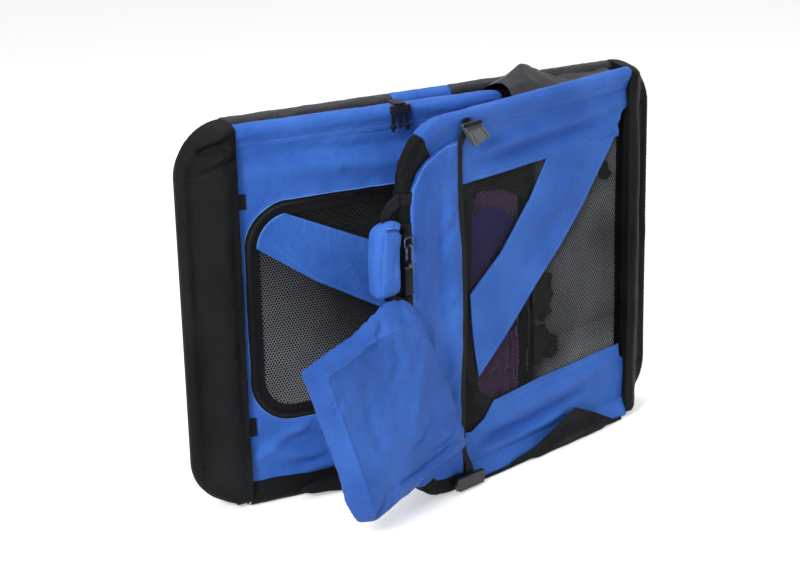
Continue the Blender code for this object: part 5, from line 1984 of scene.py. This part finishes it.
    def strap(self) -> None:
        """Run the webbing down the hoop."""
        flat = spots(423.5, 640, 424, 622, 429.5, 592, 429.5, 540, 427, 470, 422, 385, 421.5, 320, 426.5, 220,
                     430, 130, 430, 85, 428.5, 60, 424, 36, 423.5, 11)
        out = (15, 15, 4.5, 3.6, 3.6, 3.4, 3.4, 3.4, 3.6, 3.6, 4.5, 15, 15)
        Ribbon("column_strap", RIGHT.body, [RIGHT.point(u, round(w / 1000, 6), z) for (u, z), w in zip(flat, out)],
               RIGHT.point(1, 0, 0) - RIGHT.point(0, 0, 0), 0.0140, 0.0019, seed=5.0).build("right_strap")

    def stow(self, piece: Piece, finish: Finish, node: str, cap: float, waves: Sequence[float],
             folds: Folds = ()) -> None:
        """Fill a soft piece behind the window and crease it.

        Args:
            piece: The piece.
            finish: Its finish.
            node: The CAD node that it stands for.
            cap: How far its filling may push it out.
            waves: Its waves' height, number a metre, seed and flow.
            folds: Its creases.
        """
        Filling(0.006, 3.0, cap, 0.003).fill(piece)
        roughen(piece, *waves)
        if folds:
            press(piece, RIGHT, folds)
        keep_behind(piece, RIGHT, -0.0060)
        dress(piece, RIGHT.body, finish, node)

    def stowed(self) -> None:
        """Fold the mat, lay its torn trim and a painted highlight on it, and roll the roof cloth behind the window."""
        mat = copy_node("stowed_mat", "mat_pad", PLUM)
        for spot in mat.data.vertices:
            spot.co.z -= 0.16 * max(0.0, spot.co.z - 0.41)
        self.stow(mat, PLUM, "stowed_mat", 0.006, (0.009, 26, 111.0, 0.5), self.mat_folds)
        for k, edge in enumerate((
                spots(262, 352, 236, 345, 228, 330, 203, 322, 209, 300, 199, 284, 212, 268, 204, 252, 230, 240,
                      252, 262),
                spots(250, 232, 222, 236, 214, 218, 192, 205, 188, 178, 204, 168, 224, 174, 250, 166),
                spots(80, 494, 62, 492, 57, 477, 48, 467, 60, 458, 80, 464))):
            self.patch(f"mat_trim_{k}", edge, BLACK, (Ripple(60, 60, 0.002, 112.0 + k),), 0.0010, thick=0.0010,
                       spacing=0.0034).lay(sheet=("hung", "window_net"))
        # The second patch is a painted highlight: a pale blue-violet sheet on the mat.
        for name, edge, finish, seed, level, sheet in (
                ("roof_fold", spots(408, 500, 396, 504.5, 372, 505, 348, 502, 320, 495, 296, 484, 272, 471, 259.7, 461,
                                    259.7, 449, 272, 435, 288.6, 421, 262, 398, 208, 420, 200, 536, 408, 538),
                 BLACK, 118.0, -0.0052, ("folded", "roof_roll_cloth")),
                ("mat_highlight", spots(400, 458, 372.3, 472, 348.5, 474.7, 320.7, 462.7, 296.6, 440.4, 292.6, 422.1,
                                     309, 408.4, 333.4, 393.9, 357.7, 376.6, 381.8, 359.4, 400, 348),
                 MAT_HIGHLIGHT, 119.0, -0.0050, ("laid", "mat_pad"))):
            self.patch(name, edge, finish, (Ripple(14, 20, 0.0008, seed),), level, thick=0.0006, spacing=0.0044).lay(
                sheet=sheet)
        self.stow(copy_node("roof_roll", "roof_roll_cloth", BLACK), BLACK, "roof_roll", 0.005, (0.007, 34, 121.0, 0.35))

    def flap(self) -> None:
        """Turn the torn corner of side cloth up in front of the lower post."""
        outline = spots(60, 14, 90, 3, 165, 2, 260, 3, 330, 12, 268, 24, 235, 36, 160, 66, 110, 42)
        self.patch("torn_flap", outline, BLACK, (
            fold(9, 6, 75, 16, 150, 20, 230, 18), fold(6, -3, 100, 30, 170, 34, 220, 30),
            Ripple(22, 30, 0.0030, 131.0)), 0.0190, spacing=0.0036).lay(
            "right_lower_flap", sheet=("folded", "right_foot_sleeve"))

    def build(self, tailor: Tailor) -> None:
        """Build and dress the right hoop.

        Args:
            tailor: What lays the stitches.
        """
        self.foot_edging()
        self.panel(tailor)
        self.net_window(tailor)
        self.column(tailor)
        self.strap()
        self.stowed()
        self.flap()


# Handle, hook, bag and buckles


@dataclass
class Handle:
    """Webbing looped on the far bar, with its padded wrap, and the ring that the bag hangs on."""

    edge: Sequence[Spot] = tuple(spots(
        579, 390, 590, 384, 618, 385, 630, 392, 631, 454, 626.2, 492, 618, 503, 597, 509, 581, 503, 574, 492,
        575.5, 475, 578, 440))
    folds: Folds = (
        fold(3.2, -7.5, 576, 487, 592, 496, 612, 498),
        fold(2.8, 3, 578, 497, 594, 505, 610, 503),
        fold(2.2, -1.8, 624, 400, 622, 450, 616, 496),
        fold(6, -2.2, 584, 470, 600, 440, 606, 410),
        fold(5, 2, 586, 418, 604, 424, 622, 414),
        Ripple(40, 22, 0.0030, 141.0))

    def full(self, flat: np.ndarray) -> np.ndarray:
        """How full the wrap is at each place, from 0 to 1."""
        return swell(rim_gap(flat, self.edge) / 0.016)

    def build(self, tailor: Tailor) -> None:
        """Build and dress the handle.

        Args:
            tailor: What lays the stitches.
        """
        soften_node("handle_webbing", "handle_tape", GRIP.body, TAPE, 2, 0.0005)
        wrap = Patch("handle_wrap_pad", GRIP, self.edge, BLUE, spacing=0.0045,
                     front=lambda flat: 0.0130 + 0.0150 * self.full(flat),
                     back=lambda flat: 0.0124 - 0.0240 * self.full(flat)).build()
        Filling(0.0036, 3.0, 0.0025).fill(wrap)
        press(wrap, GRIP, self.folds)
        dress(wrap, GRIP.body, BLUE, "handle_wrap")
        tailor.sew(wrap, GRIP, spots(622.5, 394, 621.5, 450, 615, 494), pitch=0.0038)
        tailor.pipe(wrap, GRIP, spots(576, 490.5, 592, 499.5, 613, 500.5), "wrap_edging", 0.0010)
        soften_node("ring_keeper", "ring_keeper_tape", RIGHT.body, TAPE, 1, 0.0003)
        repaint(ZINC, "d_ring", "snap_hook", "hook_gate")


@dataclass
class Bag:
    """The slack accessory bag that hangs from the snap hook: a front panel with a gusset round it."""

    edge: Sequence[Spot] = tuple(spots(
        609, 389.7, 574.5, 381.6, 546.7, 347.4, 537.6, 310.3, 499.9, 222.1, 446.3, 92.2, 470, 81, 533.7, 61.4,
        591.5, 38, 654.6, 20.9, 694.6, 28.6, 718.9, 67.8, 734.5, 128.1, 782.3, 260.5, 804.2, 321.6, 748, 340,
        691.2, 354.7, 650, 376, 632.9, 383.6))
    seam: Sequence[Spot] = tuple(spots(
        774.2, 314, 726.4, 327, 671.5, 344.2, 620, 350, 574.7, 340, 548, 300, 512, 220, 480, 130, 526.2, 105,
        590, 90, 656.8, 78, 684.2, 56.2, 712, 138, 740, 222))
    rim_out: float = 0.0250
    face_out: float = 0.0560
    folds: Folds = (
        fold(3, 2.2, 774.2, 314, 735.7, 209.4, 684.2, 56.2),
        fold(5, 3.2, 774.2, 314, 726.4, 327, 671.5, 344.2, 630, 348),
        fold(5.5, -5, 670, 344, 650, 356, 642, 370),
        fold(5, -4, 695, 342, 672, 333, 660, 338),
        fold(5, 3.5, 595, 372, 585, 355, 570, 350),
        fold(6, -4, 615, 362, 593, 348, 565, 342),
        fold(12, -4, 640, 345, 625, 300, 655, 250),
        fold(10, 3.4, 560, 320, 590, 240, 600, 160),
        fold(12, -3.6, 700, 290, 690, 220, 665, 140),
        fold(6, -6.2, 490, 125, 530, 108, 590, 95, 650, 85),
        fold(5, 4, 485, 115, 525, 96, 590, 82),
        fold(5, -4, 660, 90, 662, 60, 670, 35),
        fold(6, 3, 630, 100, 630, 70, 640, 40),
        fold(6, -4.6, 500, 150, 520, 128, 556, 120),
        fold(6, 3.6, 480, 135, 510, 140, 545, 160),
        fold(9, -3.6, 545, 190, 575, 155, 610, 130),
        fold(5, -3, 765, 265, 750, 260, 756, 235),
        Ripple(14, 11, 0.0060, 151.0), Ripple(44, 40, 0.0020, 152.0))

    def front(self, flat: np.ndarray) -> np.ndarray:
        """The front: a gusset that climbs to the seam, and a slightly full panel inside it.

        Args:
            flat: The places, their u and z in a row.

        Returns:
            How far the front stands out at each place.
        """
        rim, line = rim_gap(flat, self.edge), rim_gap(flat, self.seam)
        slope = self.rim_out + (self.face_out - self.rim_out) * (rim / np.maximum(rim + line, 1e-6)) ** 0.8
        return np.where(inside(flat, self.seam), self.face_out + 0.006 * np.clip(line / 0.07, 0, 1), slope)

    def back(self, flat: np.ndarray) -> np.ndarray:
        """The back, against the crate's end.

        Args:
            flat: The places, their u and z in a row.

        Returns:
            How far the back stands out at each place.
        """
        lean = 0.0158 + 0.0065 * np.clip((flat[:, 1] - 0.02) / 0.37, 0, 1)
        start = self.rim_out - 0.0008
        return start - (start - lean) * swell(rim_gap(flat, self.edge) / 0.016)

    def build(self, tailor: Tailor) -> None:
        """Build and dress the bag.

        Args:
            tailor: What lays the stitches.
        """
        soften_node("bag_webbing", "bag_tape", POUCH.body, TAPE, 1, 0.0004)
        # The bag's cloth is the blue cloth darkened as painted shade.
        sack = Patch("bag_cloth", POUCH, self.edge, SHADED_BAG_BLUE, spacing=0.0055, front=self.front, back=self.back).build()
        Filling(0.0042, 2.0, 0.0035).fill(sack)
        press(sack, POUCH, self.folds, -0.4)
        dress(sack, POUCH.body, SHADED_BAG_BLUE, "bag_body")
        tailor.sew(sack, POUCH, spots(772.2, 311, 734, 209.4, 685, 60), DARK_THREAD, 0.0036)
        tailor.sew(sack, POUCH, spots(774.2, 314, 726.4, 327, 671.5, 344.2, 620, 350), THREAD, 0.0040)


@dataclass
class Buckles:
    """The side-release buckles' moulded parts with their fine relief, and the zip's slider."""

    corner: Spot = (0.409, 0.633)
    face: float = 0.0252
    prong_at: Spot = (0.303, 0.6150)
    prong_gap: float = 0.0122
    prong_out: float = 0.0196

    def spot(self, across: float, down: float) -> Spot:
        """A place on the female buckle's face, each coordinate running from 0 to 1.

        Args:
            across: The share from near to far.
            down: The share from top to foot.

        Returns:
            The place's u and z.
        """
        top, foot = (np.array(near) * (1 - across) + np.array(far) * across for near, far in (
            ((0.0315, 0.0), (-0.0055, 0.0)), ((0.0045, -0.0410), (-0.0305, -0.0300))))
        place = top * (1 - down) + foot * down
        return self.corner[0] + float(place[0]), self.corner[1] + float(place[1])

    def build(self) -> None:
        """Dress the hard parts."""
        repaint(PLASTIC, "male_buckle_body", "male_buckle_near_prong", "male_buckle_far_prong", "lower_buckle",
                "door_zip_slider", "door_zip_pull")
        repaint(GREY_PLASTIC, "female_buckle")
        for side, body in ((-1.0, "near_prong"), (1.0, "far_prong")):
            centre = (self.prong_at[0] + side * self.prong_gap, self.prong_at[1])
            head = [(centre[0] + 0.0040 * math.cos(t), centre[1] + 0.0062 * math.sin(t))
                    for t in np.linspace(0, 2 * math.pi, 17)[:-1]]
            Patch(f"{body}_head", replace(LEFT, body=body), head, PLASTIC, spacing=0.0016,
                  front=lambda flat, c=centre: self.prong_out - 60 * ((flat - np.array(c)) ** 2).sum(axis=1),
                  back=lambda flat: np.full(len(flat), 0.0146)).lay()
        for name, near, far, top, foot, inset, out, thick, finish in (
                ("bar", 0.02, 0.98, 0.02, 0.13, 0.0, 0.0022, 0.0030, PLASTIC),
                ("slot", 0.08, 0.92, 0.15, 0.30, 0.0, 0.0003, 0.0006, PLASTIC),
                ("near_rail", 0.02, 0.13, 0.32, 0.98, 0.0, 0.0014, 0.0020, GREY_PLASTIC),
                ("far_rail", 0.87, 0.98, 0.32, 0.98, 0.0, 0.0014, 0.0020, GREY_PLASTIC),
                ("plate", 0.24, 0.76, 0.36, 0.90, 0.06, 0.0009, 0.0016, GREY_PLASTIC)):
            outline = [self.spot(*at) for at in ((near, top), (far, top), (far + inset, foot), (near - inset, foot))]
            Patch(f"female_buckle_{name}", CLASP, outline, finish, Relief((), self.face + out), thick=thick,
                  spacing=0.0022).lay()
        roll = [CLASP.point(u, self.face + 0.0024, z) for u, z in (self.spot(a, 0.03) for a in (0.0, 0.5, 1.0))]
        Ribbon("female_buckle_webbing", CLASP.body, roll, UP, 0.0070, 0.0042).build()


# The studio


@dataclass(frozen=True)
class Studio:
    """Pale floor, soft lamps and the photograph's viewpoint."""

    eye: tuple[float, float, float] = (-1.62405, -2.79653, 1.41969)
    yaw: float = 29.31
    pitch: float = 18.96
    roll: float = -1.369
    lens: float = 89.87
    lamps: tuple = (("key", (-2.9, -2.0, 2.4), 1.2, 112.0), ("top", (0.3, 0.2, 3.2), 2.0, 34.0),
                    ("fill", (2.6, -2.4, 1.6), 2.4, 6.0))
    aim: tuple[float, float, float] = (0.0, -0.1, 0.3)
    sky: float = 0.46
    glow: float = 0.42

    def camera(self) -> None:
        """Set the camera where the photograph was taken."""
        yaw, pitch, roll = (math.radians(a) for a in (self.yaw, self.pitch, self.roll))
        ahead = Vector((math.sin(yaw) * math.cos(pitch), math.cos(yaw) * math.cos(pitch), -math.sin(pitch)))
        level = Vector((math.cos(yaw), -math.sin(yaw), 0.0))
        upright = level.cross(ahead)
        right = level * math.cos(roll) + upright * math.sin(roll)
        top = upright * math.cos(roll) - level * math.sin(roll)
        data = bpy.data.cameras.new("photograph")
        data.lens, data.sensor_width, data.clip_end = self.lens, 36.0, 60.0
        camera = hang_up("photograph", data)
        camera.matrix_world = Matrix.Translation(self.eye) @ Matrix((right, top, -ahead)).transposed().to_4x4()
        bpy.context.scene.camera = camera

    def light(self) -> None:
        """Hang the square lamps."""
        for name, place, size, power in self.lamps:
            data = bpy.data.lights.new(f"{name}_lamp", "AREA")
            data.shape, data.size, data.energy = "SQUARE", size, power
            turn = (Vector(self.aim) - Vector(place)).to_track_quat("-Z", "Y").to_matrix().to_4x4()
            hang_up(f"{name}_lamp", data).matrix_world = Matrix.Translation(place) @ turn

    def rays(self, tree: NodeTree, *kinds: str) -> Signal:
        """Which rays are of some kinds: 1 for those, 0 for all others.

        Args:
            tree: The shader tree that asks.
            kinds: The names of the Light Path node's outputs.

        Returns:
            The share, 0 or 1.
        """
        seen = [Signal(tree, out) for out in add_node(tree, "ShaderNodeLightPath", {}).outputs if out.name in kinds]
        total = seen[0]
        for other in seen[1:]:
            total = total.join("MAXIMUM", total, other)
        return total

    def build(self) -> None:
        """Set up the camera, the lamps, the sky and the floor, which keeps the crate's shadow."""
        self.camera()
        self.light()
        clear = ("Is Camera Ray", "Is Glossy Ray", "Is Transmission Ray")
        world = bpy.data.worlds.new("studio")
        world.use_nodes = True
        tree = world.node_tree
        plain, white = (add_node(tree, "ShaderNodeBackground", {"Color": (1, 1, 1, 1), "Strength": strength}).outputs[0]
                        for strength in (self.sky, 1.0))
        choose = add_node(tree, "ShaderNodeMixShader", {0: self.rays(tree, *clear), 1: plain, 2: white})
        plug(tree, tree.nodes["World Output"].inputs[0], choose.outputs[0])
        bpy.context.scene.world = world
        bpy.context.scene.view_settings.view_transform = "Standard"
        mesh = bpy.data.meshes.new("floor")
        mesh.from_pydata([(-9, -9, 0), (9, -9, 0), (9, 9, 0), (-9, 9, 0)], [], [(0, 1, 2, 3)])
        made = Recipe("pale_floor")
        shade = made.blend(made.cloud(1.2, 3.0) * 0.25, (0.93, 0.93, 0.93, 1.0), (0.96, 0.96, 0.96, 1.0))
        glow = made.blend(self.rays(made.tree, *clear), (0, 0, 0, 1), (self.glow, self.glow, self.glow, 1))
        mesh.materials.append(made.feed(Base_Color=shade, Roughness=0.9, Specular_IOR_Level=0.0,
                                        Emission_Strength=1.0, Emission_Color=glow))
        hang_up("studio_floor", mesh)


def main() -> None:
    """Build every piece of the crate in order, and report each."""
    logging.basicConfig(level=logging.INFO, format="%(name)s: %(message)s")
    Studio().build()
    tailor = Tailor()
    Base().build(tailor)
    for fan in (Fan(LEFT_END, True), Fan(LEFT_END, False), Fan(RIGHT_END, True, reach=0.282, bump=0.041),
                Fan(RIGHT_END, False, reach=0.250)):
        fan.build()
    for part in (LeftHoop(), RightHoop(), Handle(), Bag()):
        part.build(tailor)
    Buckles().build()
    log.info("%d stitches sewn", tailor.finish())


if __name__ == "__main__":
    main()
